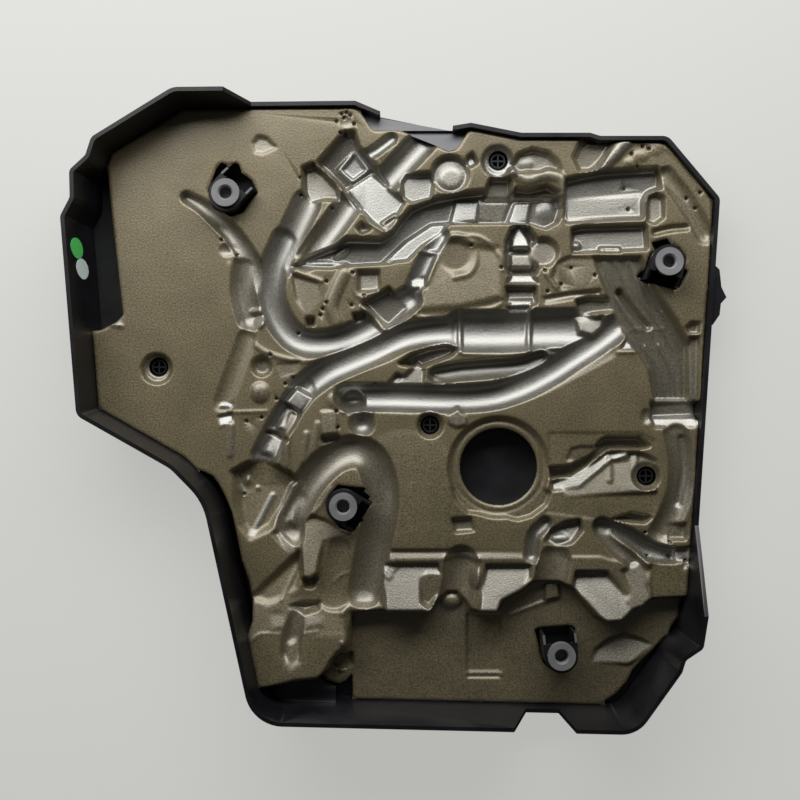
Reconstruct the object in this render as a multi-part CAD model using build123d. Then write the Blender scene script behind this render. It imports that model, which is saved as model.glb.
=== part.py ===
from build123d import *
import math
import os

# Engine cover, seen from its engine side: a moulded shell, an acoustic foam pad and its fittings.
# All sizes are millimetres. The cover lies on its flat outer face, so +Z points at the engine,
# +X to the right and +Y to the upper edge. The origin is the middle of the base of the whole part.

# Shell
COVER_HEIGHT = 62.0
LOW_RIM_HEIGHT = 30.0
FLOOR_THICKNESS = 3.0
WALL_THICKNESS = 3.2
WALL_DRAFT = 8.0
EDGE_RADIUS = 8.0
STYLING_GROOVE_COUNT = 4
STYLING_GROOVE_PITCH = 42.0
STYLING_GROOVE_LENGTH = 230.0
STYLING_GROOVE_WIDTH = 4.0
STYLING_GROOVE_DEPTH = 0.8

# Rim outline at full height, each corner with its radius
RIM_OUTLINE = [
    ((-34, 251), 6),
    ((-175, 249.5), 16),
    ((-237.5, 211), 8),
    ((-242, 197), 5),
    ((-254.5, 185.5), 6),
    ((-254, 164.5), 6),
    ((-261.5, 150), 8),
    ((-249, -4), 9),
    ((-176.5, -45), 30),
    ((-151.5, -70.5), 48),
    ((-113.5, -243.5), 30),
    ((184, -250.5), 24),
    ((218.5, -202.5), 6),
    ((221.5, -193), 5),
    ((235, -184), 6),
    ((239, -159), 20),
    ((260.5, 170.5), 12),
    ((216.5, 223), 14),
    ((161, 223), 4),
    ((153, 225.5), 4),
    ((98, 225.5), 12),
    ((57.5, 233.5), 6),
    ((42, 231), 8),
    ((-14, 242.5), 12),
]
LEFT_WALL_START = 6
# The rim drops from full height to the low rim along these stretches of the upper and right walls
UPPER_DROP_X = (-136, -118)
RIGHT_DROP_Y = (-159, -92)
UPPER_WALL_Y = 188
RIGHT_WALL_X = 232
LOWER_NOTCH_X = (89, 102, 128, 137)
LOWER_NOTCH_DEPTH = 40.0
UPPER_NOTCH_X = (-15, 43)
UPPER_NOTCH_HEIGHT = 17.0

# Bare panel beside the upper edge: plan outline and its sawtooth section in Y and height
PANEL_OUTLINE = [
    (-34, 262), (-30, 238), (-21, 224), (1, 224), (25, 214), (40, 207), (46, 209), (54, 221),
    (63, 262),
]
PANEL_SECTION = [(262, 8.5), (224, 21.5), (223, 18.5), (204, 25)]

# Hook moulded on the outside of the right wall
HOOK_OUTLINE = [
    (245, 116), (252, 116), (256, 112), (257.5, 98), (261.5, 90), (257, 85), (256, 76), (250.5, 68),
    (245, 68),
]
HOOK_HEIGHTS = (14, 28)

# Curved air scoop in the lower left corner
SCOOP_OUTLINE = [
    (-104, -221.5), (-64, -215.5), (-60, -220.5), (-51, -223), (-51, -240), (-84, -241), (-94, -237),
]
SCOOP_HEIGHT = 22.0
SCOOP_HOLLOW_RADIUS = 34.0
SCOOP_HOLLOW_DEPTH = 7.0

# Grommets and the U-shaped holders that carry them: place and the bearing of the open side
GROMMET_PLACES = {
    "upper_left": (-136.7, 171.4, 50),
    "upper_right": (212.9, 117.2, -106),
    "middle": (-44.0, -76.1, -33),
    "lower_right": (128.1, -193.9, 94),
}
GROMMET_RADIUS = 11.0
GROMMET_NECK_RADIUS = 8.0
GROMMET_BODY_LENGTH = 8.0
GROMMET_FLANGE = 3.5
SOCKET_RADIUS = 5.0
SOCKET_DEPTH = 11.0
SOCKET_LEAD_IN = 1.2
HOLDER_HEIGHT = 37.0
HOLDER_RADIUS = 13.3
HOLDER_WALL = 1.8
HOLDER_PLATE = 3.0
HOLDER_PLATE_REACH = 10.0
HOLDER_ARM = 17.0
HOLDER_ARM_DROP = 3.5
GROMMET_CLEARANCE = 0.1
# The socket stands this far from the round end of the holder's slot
SEAT_SHIFT = 0.3

# Cross-ribbed posts that hold the pad, each in a round recess of the pad
POST_PLACES = [(-193.5, 34.6), (79.8, 200.7), (25.0, -12.2), (199.2, -53.3)]
POST_RADIUS = 6.0
POST_WALL = 1.3
POST_RIB = 1.4
POST_HEIGHT = 14.0
POST_CLEARANCE = 1.6
POST_RECESS_RADIUS = 10.5
POST_RECESS_DEPTH = 11.0

# Foam pad: its main face, the levels above and below it, and the gap to the shell's wall
FOAM_THICKNESS = 23.0
FOAM_GAP = 0.5
HOLDER_CLEARANCE = 0.8
POCKET_DRAFT = 10.0
CHANNEL_FLARE = 1.0
LOWER_FLAT_DEPTH = 14.0
LOWER_FLAT_OUTLINE = [
    (-38, -290), (-38, -163), (-13, -159), (33, -159), (39, -151), (52, -151), (64, -161), (105, -161),
    (120, -155), (139, -155), (146, -166), (202, -167), (234, -153), (290, -153), (290, -290),
]
LUMP_RISE = 9.0
LUMP_LENGTH = 46.0
LUMP_OUTLINES = [
    [(-13, -116), (33, -116), (33, -159), (-13, -159)],
    [(63, -116), (104, -116), (104, -161), (63, -161)],
    [(137, -119), (199, -119), (199, -151), (185, -166), (146, -166)],
]
LUMP_TOP_Y = -114
BLOCK_RISE = 14.0
BLOCK_OUTLINE = [
    (-150, -181), (-118, -150), (-103, -134), (-58, -132), (-46, -172), (-51, -198), (-62, -214),
    (-150, -226),
]
BARE_STRIP_OUTLINE = [
    (-270, 192), (-234, 198), (-231, 166), (-225, 113), (-221, 76), (-227, 70), (-239, 64), (-270, 60),
]
CORNER_OUTLINE = [
    (-150, -226), (-111, -221), (-62, -214), (-59, -219), (-48, -222), (-47, -226), (-38, -226),
    (-38, -290), (-150, -290),
]
FILLER_PLACE = (80.0, -45.6)
FILLER_RADIUS = 31.0
FILLER_STEP_RADIUS = 41.0
FILLER_STEP_DEPTH = 2.5
HOLDER_CUTOUTS = [
    [
        (-149, 186), (-146, 194), (-142, 198), (-136, 195), (-131, 198), (-128, 196), (-126, 190),
        (-118, 184), (-113, 174), (-118, 168), (-125, 158), (-134, 155), (-149, 162), (-153, 176),
    ],
    [
        (202, 134), (215, 137), (218, 133), (225, 130), (230, 122), (228, 114), (231, 111), (224, 98),
        (219, 99), (215, 104), (191, 107), (200, 116), (205, 128),
    ],
    [
        (-49, -60), (-35, -62), (-26, -62), (-28, -65), (-23, -70), (-30, -75), (-34, -86), (-28, -88),
        (-36, -93), (-40, -96), (-47, -95), (-54, -86), (-57, -78), (-53, -65),
    ],
    [
        (110, -178), (118, -177), (118.5, -179), (135, -178), (135.5, -175), (143, -177), (142, -204),
        (137, -210), (122, -210), (117, -205),
    ],
]

# Hose channels in the pad: radius, depth of the bottom below the face, and the route
CHANNELS = {
    "loop_hose": (10, 12, [
        (-70, 164), (-91, 140), (-102, 112), (-102, 86), (-91, 66), (-75, 55), (-54, 54), (-30, 64),
        (1, 84), (20, 112),
    ]),
    "branch_hose": (8, 9, [(-43, 158), (-63, 136), (-80, 117)]),
    "diagonal_pipe": (8, 8, [(-170, 171), (-155, 162), (-131, 138), (-110, 104)]),
    "main_pipe": (17, 15, [(159, 65), (106, 65), (53, 62)]),
    "main_pipe_tail": (11, 13, [
        (53, 60), (33, 56), (1, 54), (-23, 45), (-47, 34), (-71, 20), (-85, 2), (-95, -18),
        (-103, -36),
    ]),
    "lower_tube": (10, 11, [(-39, 8), (25, 6), (81, 8), (113, 15), (138, 31), (161, 48), (173, 68)]),
    "bellows": (12, 14, [(-42, 14), (-38, -6), (-34, -28)]),
    "arch_hose": (10, 11, [
        (-86, -100), (-91, -86), (-82, -62), (-62, -38), (-38, -28), (-22, -36), (-15, -58),
        (-17, -92), (-30, -150),
    ]),
    "left_trough": (7, 7, [(-122, 56), (-131, 32), (-141, 6)]),
    "corner_tube": (8, 8, [(161, -92), (193, -110), (225, -120)]),
    "upper_trough": (11, 10, [(-7, 186), (8, 196), (23, 208)]),
    "lens": (8, 7, [(23, 28), (61, 28), (93, 33), (113, 38)]),
    "narrow_channel": (5, 6, [(37, 142), (20, 114), (5, 88)]),
    "corner_groove": (5, 5, [(212, 186), (229, 166), (240, 146)]),
    "lower_branch": (7, 6, [(162, -103), (184, -125), (196, -148)]),
}
# Pockets in the pad: depth below the face and the outline
POCKETS = {
    "harness_duct": (15, [
        (-75, 118), (-43, 136), (-15, 138), (13, 162), (33, 170), (65, 175), (125, 176), (131, 164),
        (126, 150), (41, 150), (25, 147), (1, 122), (-15, 116),
    ]),
    "connector_box": (13, [
        (-66, 198), (-41, 223), (-26, 196), (-11, 192), (5, 166), (-11, 144), (-34, 168),
    ]),
    "upper_box": (13, [(135, 190), (210, 192), (210, 176), (197, 174), (195, 151), (135, 150)]),
    "lower_box": (11, [(139, 146), (198, 147), (199, 126), (140, 125)]),
    "plug_stack": (12, [
        (90, 144), (105, 144), (108, 114), (111, 108), (107, 88), (100, 70), (92, 70), (86, 88),
        (86, 108), (89, 114),
    ]),
    "arch_recess": (9, [(91, 194), (97, 206), (111, 211), (127, 205), (133, 192)]),
    "harness_fan": (10, [
        (156, 122), (193, 122), (213, 80), (228, 64), (234, 32), (234, 8), (206, 8), (205, 20),
        (193, 48), (173, 76),
    ]),
    "cross_slot": (12, [(202, 7), (242, 7), (242, -9), (204, -9)]),
    "right_channel": (7, [(212, -16), (236, -16), (234, -72), (233, -104), (215, -104), (212, -72)]),
    "bracket_pocket": (7, [
        (122, -50), (137, -50), (166, -25), (201, -25), (201, -34), (170, -35), (142, -58), (122, -60),
    ]),
    "diamond_pocket": (15, [(-29, 88), (-13, 102), (5, 82), (-11, 70)]),
    "square_pocket": (10, [(-33, 111), (-17, 111), (-17, 97), (-33, 97)]),
    "side_cavity": (12, [(-133, -42), (-110, -38), (-81, -45), (-84, -58), (-122, -56)]),
    "lower_flat_panel": (17, [(56, -170), (84, -170), (84, -220), (56, -220)]),
    "plug_pit": (15, [(-78, 190), (-66, 197), (-61, 186), (-60, 170), (-76, 166)]),
    "clip_pocket": (12, [(1, 186), (27, 186), (27, 166), (1, 166)]),
    "side_pocket": (10, [(198, 177), (212, 177), (212, 148), (198, 148)]),
    "corner_recess": (8, [(143, 211), (165, 211), (165, 193), (140, 193)]),
    "crescent": (8, [(116, -92), (126, -88), (144, -88), (145, -99), (134, -110), (119, -108)]),
    "small_pocket": (4, [(43, -86), (58, -86), (59, -97), (45, -97)]),
    "corner_hollow": (16, [(-57, -205), (-51, -196), (-39, -196), (-39, -229), (-63, -229)]),
}
# Round recesses in the pad: place, radius, depth, and the radius of the stud that stands in it
ROUND_RECESSES = {
    "terminal": ((42, 186), 17.0, 9.0, 11.0),
    "sensor": ((45, 123), 17.0, 2.0, 12.0),
}
STUD_SHARE = 0.6
# Groove across the raised block: its radius, its depth below the block's top and its route
BLOCK_GROOVE = (7, 9, [(-80, -164), (-86, -186), (-88, -207)])

# Oval inspection stickers inside the left wall: half width and half height, and places in Y and height
STICKER_RADII = (8.2, 12.0)
STICKER_THICKNESS = 0.25
STICKER_PLACES = {"green_sticker": (127, 42), "white_sticker": (111.4, 34)}

DRAFT_SLOPE = math.tan(math.radians(WALL_DRAFT))
FOAM_FACE = FLOOR_THICKNESS + FOAM_THICKNESS
HOLDER_TOP = FLOOR_THICKNESS + HOLDER_HEIGHT
ABOVE_ALL = COVER_HEIGHT + 40
BEYOND = 1.2 * max(abs(value) for corner, radius in RIM_OUTLINE for value in corner)


def inset_corners(distance):
    """The rim outline's corners moved inwards by a distance, with the radius of each."""
    corners = [Vector(*point) for point, radius in RIM_OUTLINE]
    moved = []
    for index, corner in enumerate(corners):
        before = (corner - corners[index - 1]).normalized()
        after = (corners[(index + 1) % len(corners)] - corner).normalized()
        inward = Vector(-before.Y - after.Y, before.X + after.X)
        turn = before.X * after.Y - before.Y * after.X
        radius = RIM_OUTLINE[index][1] - math.copysign(distance, turn)
        moved.append((corner + inward * (2 * distance / inward.dot(inward)), max(radius, 2.0)))
    return moved


def rim_section(distance, height):
    """A face of the rim outline, moved inwards, at a height."""
    moved = inset_corners(distance)
    corners = [corner for corner, radius in moved]
    radii = [radius for corner, radius in moved]
    return Pos(0, 0, height) * make_face(FilletPolyline(*corners, radius=radii, close=True))


def wall_inset(height):
    """How far the outer wall at a height lies inside the rim outline."""
    return (COVER_HEIGHT - height) * DRAFT_SLOPE


def flared_body(extra, low, high):
    """A solid that follows the drafted wall between two heights, inset by an extra distance."""
    sections = [rim_section(wall_inset(z) + extra, z) for z in (low, high)]
    return loft(sections, ruled=True)


def prism(outline, low, high):
    """An upright prism over a plan outline."""
    face = make_face(Polyline(*outline, close=True))
    return extrude(Pos(0, 0, low) * face, amount=high - low, dir=(0, 0, 1))


def upright(place, radius, low):
    """A round cutter that stands on a height and reaches above everything."""
    return Pos(*place, low) * extrude(Circle(radius), amount=ABOVE_ALL)


def along_y(profile, low, high):
    """A prism along Y over an outline in X and Z."""
    face = make_face(Polyline(*[(x, low, z) for x, z in profile], close=True))
    return extrude(face, amount=high - low, dir=(0, 1, 0))


def along_x(profile, low, high):
    """A prism along X over an outline in Y and Z."""
    face = make_face(Polyline(*[(low, y, z) for y, z in profile], close=True))
    return extrude(face, amount=high - low, dir=(1, 0, 0))


def rim_cutters():
    """Solids that lower the rim along the upper and right walls and cut its two notches."""
    start, end = UPPER_DROP_X
    drop = [
        (start, COVER_HEIGHT), (end, LOW_RIM_HEIGHT), (BEYOND, LOW_RIM_HEIGHT), (BEYOND, ABOVE_ALL),
        (start, ABOVE_ALL),
    ]
    upper = along_y(drop, UPPER_WALL_Y, BEYOND)
    start, end = RIGHT_DROP_Y
    drop = [
        (start, COVER_HEIGHT), (end, LOW_RIM_HEIGHT), (BEYOND, LOW_RIM_HEIGHT), (BEYOND, ABOVE_ALL),
        (start, ABOVE_ALL),
    ]
    right = along_x(drop, RIGHT_WALL_X, BEYOND)
    notch_floor = COVER_HEIGHT - LOWER_NOTCH_DEPTH
    a, b, c, d = LOWER_NOTCH_X
    notch = [
        (a, COVER_HEIGHT), (b, notch_floor), (c, notch_floor), (d, COVER_HEIGHT), (d, ABOVE_ALL),
        (a, ABOVE_ALL),
    ]
    lower = along_y(notch, -BEYOND, -UPPER_WALL_Y)
    a, b = UPPER_NOTCH_X
    slot = [(a, UPPER_NOTCH_HEIGHT), (b, UPPER_NOTCH_HEIGHT), (b, ABOVE_ALL), (a, ABOVE_ALL)]
    return [upper, right, lower, along_y(slot, UPPER_WALL_Y, BEYOND)]


def holder_plan(radius, arm):
    """U-shaped plan of a holder: a round end with two sides that run to the open end, along +X."""
    return Circle(radius) + Pos(arm / 2, 0) * Rectangle(arm, 2 * radius)


def holder():
    """A grommet holder: a U-shaped wall with sloping arms around a plate with an open slot."""
    base = FLOOR_THICKNESS - FLOOR_THICKNESS / 2
    inner = holder_plan(HOLDER_RADIUS - HOLDER_WALL, HOLDER_ARM + HOLDER_WALL)
    wall = extrude(holder_plan(HOLDER_RADIUS, HOLDER_ARM) - inner, amount=HOLDER_TOP - base)
    slot = holder_plan(GROMMET_NECK_RADIUS + GROMMET_CLEARANCE, HOLDER_ARM + HOLDER_WALL)
    plate = extrude(holder_plan(HOLDER_RADIUS, HOLDER_PLATE_REACH) - slot, amount=HOLDER_PLATE)
    slope = [
        (HOLDER_PLATE_REACH, HOLDER_TOP), (HOLDER_ARM, HOLDER_TOP - HOLDER_ARM_DROP),
        (HOLDER_ARM, ABOVE_ALL), (HOLDER_PLATE_REACH, ABOVE_ALL),
    ]
    body = Pos(0, 0, base) * wall + Pos(0, 0, HOLDER_TOP - HOLDER_PLATE) * plate
    return body - along_y(slope, -BEYOND, BEYOND)


def post():
    """A hollow round post with a cross of ribs inside."""
    base = FLOOR_THICKNESS - FLOOR_THICKNESS / 2
    bore = POST_RADIUS - POST_WALL
    cross = Rectangle(2 * bore + POST_WALL, POST_RIB) + Rectangle(POST_RIB, 2 * bore + POST_WALL)
    plan = Circle(POST_RADIUS) - Circle(bore) + cross
    return Pos(0, 0, base) * extrude(plan, amount=FLOOR_THICKNESS - base + POST_HEIGHT)


def inside_wall():
    """The space that mouldings on the floor may fill, up to the middle of the wall."""
    return flared_body(WALL_THICKNESS / 2, FLOOR_THICKNESS / 2, COVER_HEIGHT)


def scoop():
    """The air scoop: an upright block with a round hollow along its top."""
    block = prism(SCOOP_OUTLINE, 0, FLOOR_THICKNESS + SCOOP_HEIGHT) & inside_wall()
    x = sum(point[0] for point in SCOOP_OUTLINE) / len(SCOOP_OUTLINE)
    y = sum(point[1] for point in SCOOP_OUTLINE) / len(SCOOP_OUTLINE)
    axis_height = FLOOR_THICKNESS + SCOOP_HEIGHT - SCOOP_HOLLOW_DEPTH + SCOOP_HOLLOW_RADIUS
    hollow = Pos(x, y, axis_height) * Rot(0, 90, 0) * Cylinder(SCOOP_HOLLOW_RADIUS, BEYOND)
    return block - hollow


def panel():
    """The bare panel beside the upper edge, with a sawtooth section."""
    section = PANEL_SECTION + [(PANEL_SECTION[-1][0], 0), (PANEL_SECTION[0][0], 0)]
    ridge = along_x([(y, z + FLOOR_THICKNESS / 2) for y, z in section], -BEYOND, BEYOND)
    return ridge & prism(PANEL_OUTLINE, 0, ABOVE_ALL) & inside_wall()


def cover_shell():
    """The moulded shell with its holders, posts, hook, scoop and bare panel."""
    edge = EDGE_RADIUS * (1 - math.sqrt(0.5))
    sections = [
        rim_section(wall_inset(0) + EDGE_RADIUS, 0),
        rim_section(wall_inset(edge) + edge, edge),
        rim_section(wall_inset(EDGE_RADIUS), EDGE_RADIUS),
        rim_section(0, COVER_HEIGHT),
    ]
    shell = loft(sections, ruled=True)
    shell -= flared_body(WALL_THICKNESS, FLOOR_THICKNESS, COVER_HEIGHT + WALL_THICKNESS)
    for cutter in rim_cutters():
        shell -= cutter
    groove_x = (STYLING_GROOVE_COUNT - 1) * STYLING_GROOVE_PITCH / 2
    for index in range(STYLING_GROOVE_COUNT):
        groove = Box(STYLING_GROOVE_WIDTH, STYLING_GROOVE_LENGTH, 2 * STYLING_GROOVE_DEPTH)
        shell -= Pos(index * STYLING_GROOVE_PITCH - groove_x, 0, 0) * groove
    for x, y, bearing in GROMMET_PLACES.values():
        shell += Pos(x, y) * Rot(0, 0, bearing) * Pos(-SEAT_SHIFT, 0) * holder()
    for x, y in POST_PLACES:
        shell += Pos(x, y) * post()
    hook = prism(HOOK_OUTLINE, *HOOK_HEIGHTS) - flared_body(WALL_THICKNESS / 2, 0, COVER_HEIGHT)
    return shell + hook + scoop() + panel()


def grommet():
    """A rubber ball socket with a groove that slides into the holder's plate."""
    low = HOLDER_TOP - HOLDER_PLATE - GROMMET_BODY_LENGTH
    top = HOLDER_TOP + GROMMET_FLANGE
    bore_low = top - SOCKET_DEPTH
    profile = Polyline(
        (0, low),
        (GROMMET_NECK_RADIUS, low),
        (GROMMET_RADIUS, HOLDER_TOP - HOLDER_PLATE),
        (GROMMET_NECK_RADIUS, HOLDER_TOP - HOLDER_PLATE),
        (GROMMET_NECK_RADIUS, HOLDER_TOP),
        (GROMMET_RADIUS, HOLDER_TOP),
        (GROMMET_RADIUS, top),
        (SOCKET_RADIUS + SOCKET_LEAD_IN, top),
        (SOCKET_RADIUS, top - SOCKET_LEAD_IN),
        (SOCKET_RADIUS, bore_low),
        (0, bore_low),
        close=True,
    )
    return revolve(Plane.XZ * make_face(profile), Axis.Z)


def channel(radius, depth, route, face=FOAM_FACE):
    """A round-bottomed channel, open upwards, along a route on one of the pad's faces."""
    height = face - depth + radius
    top = LUMP_RISE + depth - radius + 1
    points = [Vector(x, y, height) for x, y in route]
    bends = []
    for before, corner, after in zip(points, points[1:], points[2:]):
        turn = math.radians((corner - before).get_angle(after - corner))
        run = min((corner - before).length, (after - corner).length)
        bends.append(0.45 * run / math.tan(turn / 2))
    path = FilletPolyline(*points, radius=bends)
    flare = radius + CHANNEL_FLARE
    half = make_face([
        Polyline((0, -radius), (0, top), (flare, top), (radius, 0)),
        RadiusArc((radius, 0), (0, -radius), radius),
    ])
    section = half + mirror(half, Plane.YZ)
    start = Plane(path @ 0, x_dir=Vector(0, 0, 1).cross(path % 0), z_dir=path % 0)
    cutter = sweep(start * section, path=path)
    round_end = revolve(Plane.XZ * half, Axis.Z)
    for end in (points[0], points[-1]):
        cutter += Pos(end) * round_end
    return cutter


def pocket(depth, outline):
    """A drafted pocket in the pad's face."""
    rim = FOAM_FACE + 1
    face = Pos(0, 0, rim) * make_face(Polyline(*outline, close=True))
    return extrude(face, amount=depth + 1, dir=(0, 0, -1), taper=POCKET_DRAFT)


def lump(outline):
    """A raised lump whose top climbs away from the pad's face."""
    slope = [
        (LUMP_TOP_Y, FOAM_FACE - 1),
        (LUMP_TOP_Y, FOAM_FACE),
        (LUMP_TOP_Y - LUMP_LENGTH, FOAM_FACE + LUMP_RISE),
        (-BEYOND, FOAM_FACE + LUMP_RISE),
        (-BEYOND, FOAM_FACE - 1),
    ]
    return prism(outline, FOAM_FACE - 1, ABOVE_ALL) & along_x(slope, -BEYOND, BEYOND)


def foam_pad():
    """The moulded acoustic pad with its channels, pockets, lumps and holes."""
    envelope = flared_body(WALL_THICKNESS + FOAM_GAP, FLOOR_THICKNESS, COVER_HEIGHT)
    pad = prism([
        (-BEYOND, -BEYOND), (BEYOND, -BEYOND), (BEYOND, BEYOND), (-BEYOND, BEYOND),
    ], FLOOR_THICKNESS, FOAM_FACE)
    pad += prism(BLOCK_OUTLINE, FLOOR_THICKNESS, FOAM_FACE + BLOCK_RISE)
    pad = pad & envelope
    pad -= prism(LOWER_FLAT_OUTLINE, FOAM_FACE - LOWER_FLAT_DEPTH, ABOVE_ALL)
    for outline in LUMP_OUTLINES:
        pad += lump(outline)
    for radius, depth, route in CHANNELS.values():
        pad -= channel(radius, depth, route)
    for depth, outline in POCKETS.values():
        pad -= pocket(depth, outline)
    pad -= channel(*BLOCK_GROOVE, FOAM_FACE + BLOCK_RISE)
    for place, radius, depth, stud in ROUND_RECESSES.values():
        floor = FOAM_FACE - depth
        pad -= upright(place, radius, floor)
        pad += Pos(*place, floor) * extrude(Circle(stud), amount=depth * STUD_SHARE)
    for outline in [BARE_STRIP_OUTLINE, CORNER_OUTLINE, PANEL_OUTLINE]:
        pad -= prism(outline, 0, ABOVE_ALL)
    for outline, (x, y, bearing) in zip(HOLDER_CUTOUTS, GROMMET_PLACES.values()):
        pad -= prism(outline, 0, ABOVE_ALL)
        room = holder_plan(HOLDER_RADIUS + HOLDER_CLEARANCE, HOLDER_ARM + HOLDER_CLEARANCE)
        pad -= Pos(x, y) * Rot(0, 0, bearing) * extrude(room, amount=ABOVE_ALL)
    for place in POST_PLACES:
        pad -= upright(place, POST_RADIUS + POST_CLEARANCE, 0)
        pad -= upright(place, POST_RECESS_RADIUS, FOAM_FACE - POST_RECESS_DEPTH)
    pad -= upright(FILLER_PLACE, FILLER_RADIUS, 0)
    pad -= upright(FILLER_PLACE, FILLER_STEP_RADIUS, FOAM_FACE - FILLER_STEP_DEPTH)
    return pad


def sticker(y, height):
    """A thin oval sticker on the inner face of the left wall."""
    upper = Vector(*RIM_OUTLINE[LEFT_WALL_START][0])
    lower = Vector(*RIM_OUTLINE[LEFT_WALL_START + 1][0])
    along = (lower - upper).normalized()
    inward = Vector(-along.Y, along.X)
    place = upper + along * ((y - upper.Y) / along.Y) + inward * (wall_inset(height) + WALL_THICKNESS)
    lean = math.radians(WALL_DRAFT)
    normal = inward * math.cos(lean) + Vector(0, 0, 1) * math.sin(lean)
    wall = Plane(place + Vector(0, 0, height), x_dir=along, z_dir=normal)
    return extrude(wall * Ellipse(*STICKER_RADII), amount=STICKER_THICKNESS)


def main():
    """Build every piece and write each to its own file."""
    pieces = {"cover_shell": cover_shell(), "foam_pad": foam_pad()}
    for name, (x, y, bearing) in GROMMET_PLACES.items():
        pieces[f"grommet_{name}"] = Pos(x, y) * grommet()
    for name, place in STICKER_PLACES.items():
        pieces[name] = sticker(*place)
    os.makedirs("parts", exist_ok=True)
    for name, piece in pieces.items():
        export_step(piece, f"parts/{name}.step")


main()
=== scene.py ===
import logging
from dataclasses import dataclass, field
from enum import Enum
from typing import Protocol

import bpy
import numpy as np
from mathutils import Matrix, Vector
from mathutils.bvhtree import BVHTree


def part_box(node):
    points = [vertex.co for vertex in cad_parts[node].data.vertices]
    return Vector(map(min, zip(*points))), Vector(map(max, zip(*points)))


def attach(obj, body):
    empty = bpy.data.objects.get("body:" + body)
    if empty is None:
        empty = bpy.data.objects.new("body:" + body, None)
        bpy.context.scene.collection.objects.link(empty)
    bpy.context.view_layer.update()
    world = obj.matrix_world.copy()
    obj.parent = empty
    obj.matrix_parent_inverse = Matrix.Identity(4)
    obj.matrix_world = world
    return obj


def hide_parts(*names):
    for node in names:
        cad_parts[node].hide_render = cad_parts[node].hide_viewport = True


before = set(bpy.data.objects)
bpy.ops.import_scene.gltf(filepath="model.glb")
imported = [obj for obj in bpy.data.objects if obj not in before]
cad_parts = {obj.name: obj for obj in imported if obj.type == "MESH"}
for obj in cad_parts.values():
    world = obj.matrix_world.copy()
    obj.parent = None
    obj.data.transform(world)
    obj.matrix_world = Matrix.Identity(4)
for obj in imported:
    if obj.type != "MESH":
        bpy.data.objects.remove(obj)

LOG = logging.getLogger("engine_cover")
MILLIMETRE = 0.001
Point = tuple[float, float]
Outline = tuple[Point, ...]
Socket = bpy.types.NodeSocket

# The pad's mesh: its grid, levels, wall draft and edge drop in millimetres, and the angle that stays sharp.
PAD_GRID = 0.8
PAD_TRIANGLES = 190_000
PAD_FACE = 26.0
PAD_BOTTOM = 3.2
PAD_WALL_DRAFT = 4.0
PAD_EDGE_DROP = 1.4
CORNER_SOFTNESS = 0.85
PAD_SHARP_ANGLE = 62.0
# Grid cells over which the plan is blurred to find the way in, and to round the edge.
WAY_BLUR = 1.6
EDGE_BLUR = 2.6
EDGE_SPAN = 0.46
# Where a channel's section fades out, measured from its edge.
CHANNEL_FADE = (-0.5, 0.7)
# The part of a noise's range that holds most of it, and the part that shows as wear.
NOISE_LOW, NOISE_HIGH = 0.3, 0.7
WORN_LOW, WORN_HIGH = 0.42, 0.75


class Stage(Enum):
    """Colours of the things round the object."""

    FLOOR = "#80807D"
    FLOOR_GLOW = "#B7B7B4"
    SKY = "#DCDCDA"


def linear(colour: str) -> tuple[float, float, float, float]:
    """Turns an sRGB hex colour to linear.

    Args:
        colour: the colour as a hash sign and six hex digits.

    Returns:
        The linear red, green and blue, with full alpha.
    """
    parts = [int(colour[at:at + 2], 16) / 255 for at in (1, 3, 5)]
    red, green, blue = [p / 12.92 if p <= 0.04045 else ((p + 0.055) / 1.055) ** 2.4 for p in parts]
    return red, green, blue, 1.0


def feed(tree: bpy.types.NodeTree, node: bpy.types.Node, inputs: dict) -> None:
    """Fills a node's inputs.

    Args:
        tree: the node tree that holds the node.
        node: the node.
        inputs: a value or an output socket for each named or numbered input.
    """
    for name, value in inputs.items():
        if isinstance(value, Socket):
            tree.links.new(value, node.inputs[name])
        else:
            node.inputs[name].default_value = value


def add_node(tree: bpy.types.NodeTree, kind: str, inputs: dict | None = None, **settings) -> bpy.types.Node:
    """Adds a node with its settings and inputs.

    Args:
        tree: the node tree that gets the node.
        kind: the node's type name.
        inputs: a value or an output socket for each named or numbered input.
        settings: properties of the node itself.

    Returns:
        The new node.
    """
    node = tree.nodes.new(kind)
    for name, value in settings.items():
        setattr(node, name, value)
    feed(tree, node, inputs or {})
    return node


def per_metre(size: float) -> float:
    """The noise scale that gives a pattern of about this size, in millimetres."""
    return 1.0 / (size * MILLIMETRE)


class Finish(Protocol):
    """A surface finish that can make its material."""

    def material(self) -> bpy.types.Material:
        """The finish as a material."""


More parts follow.
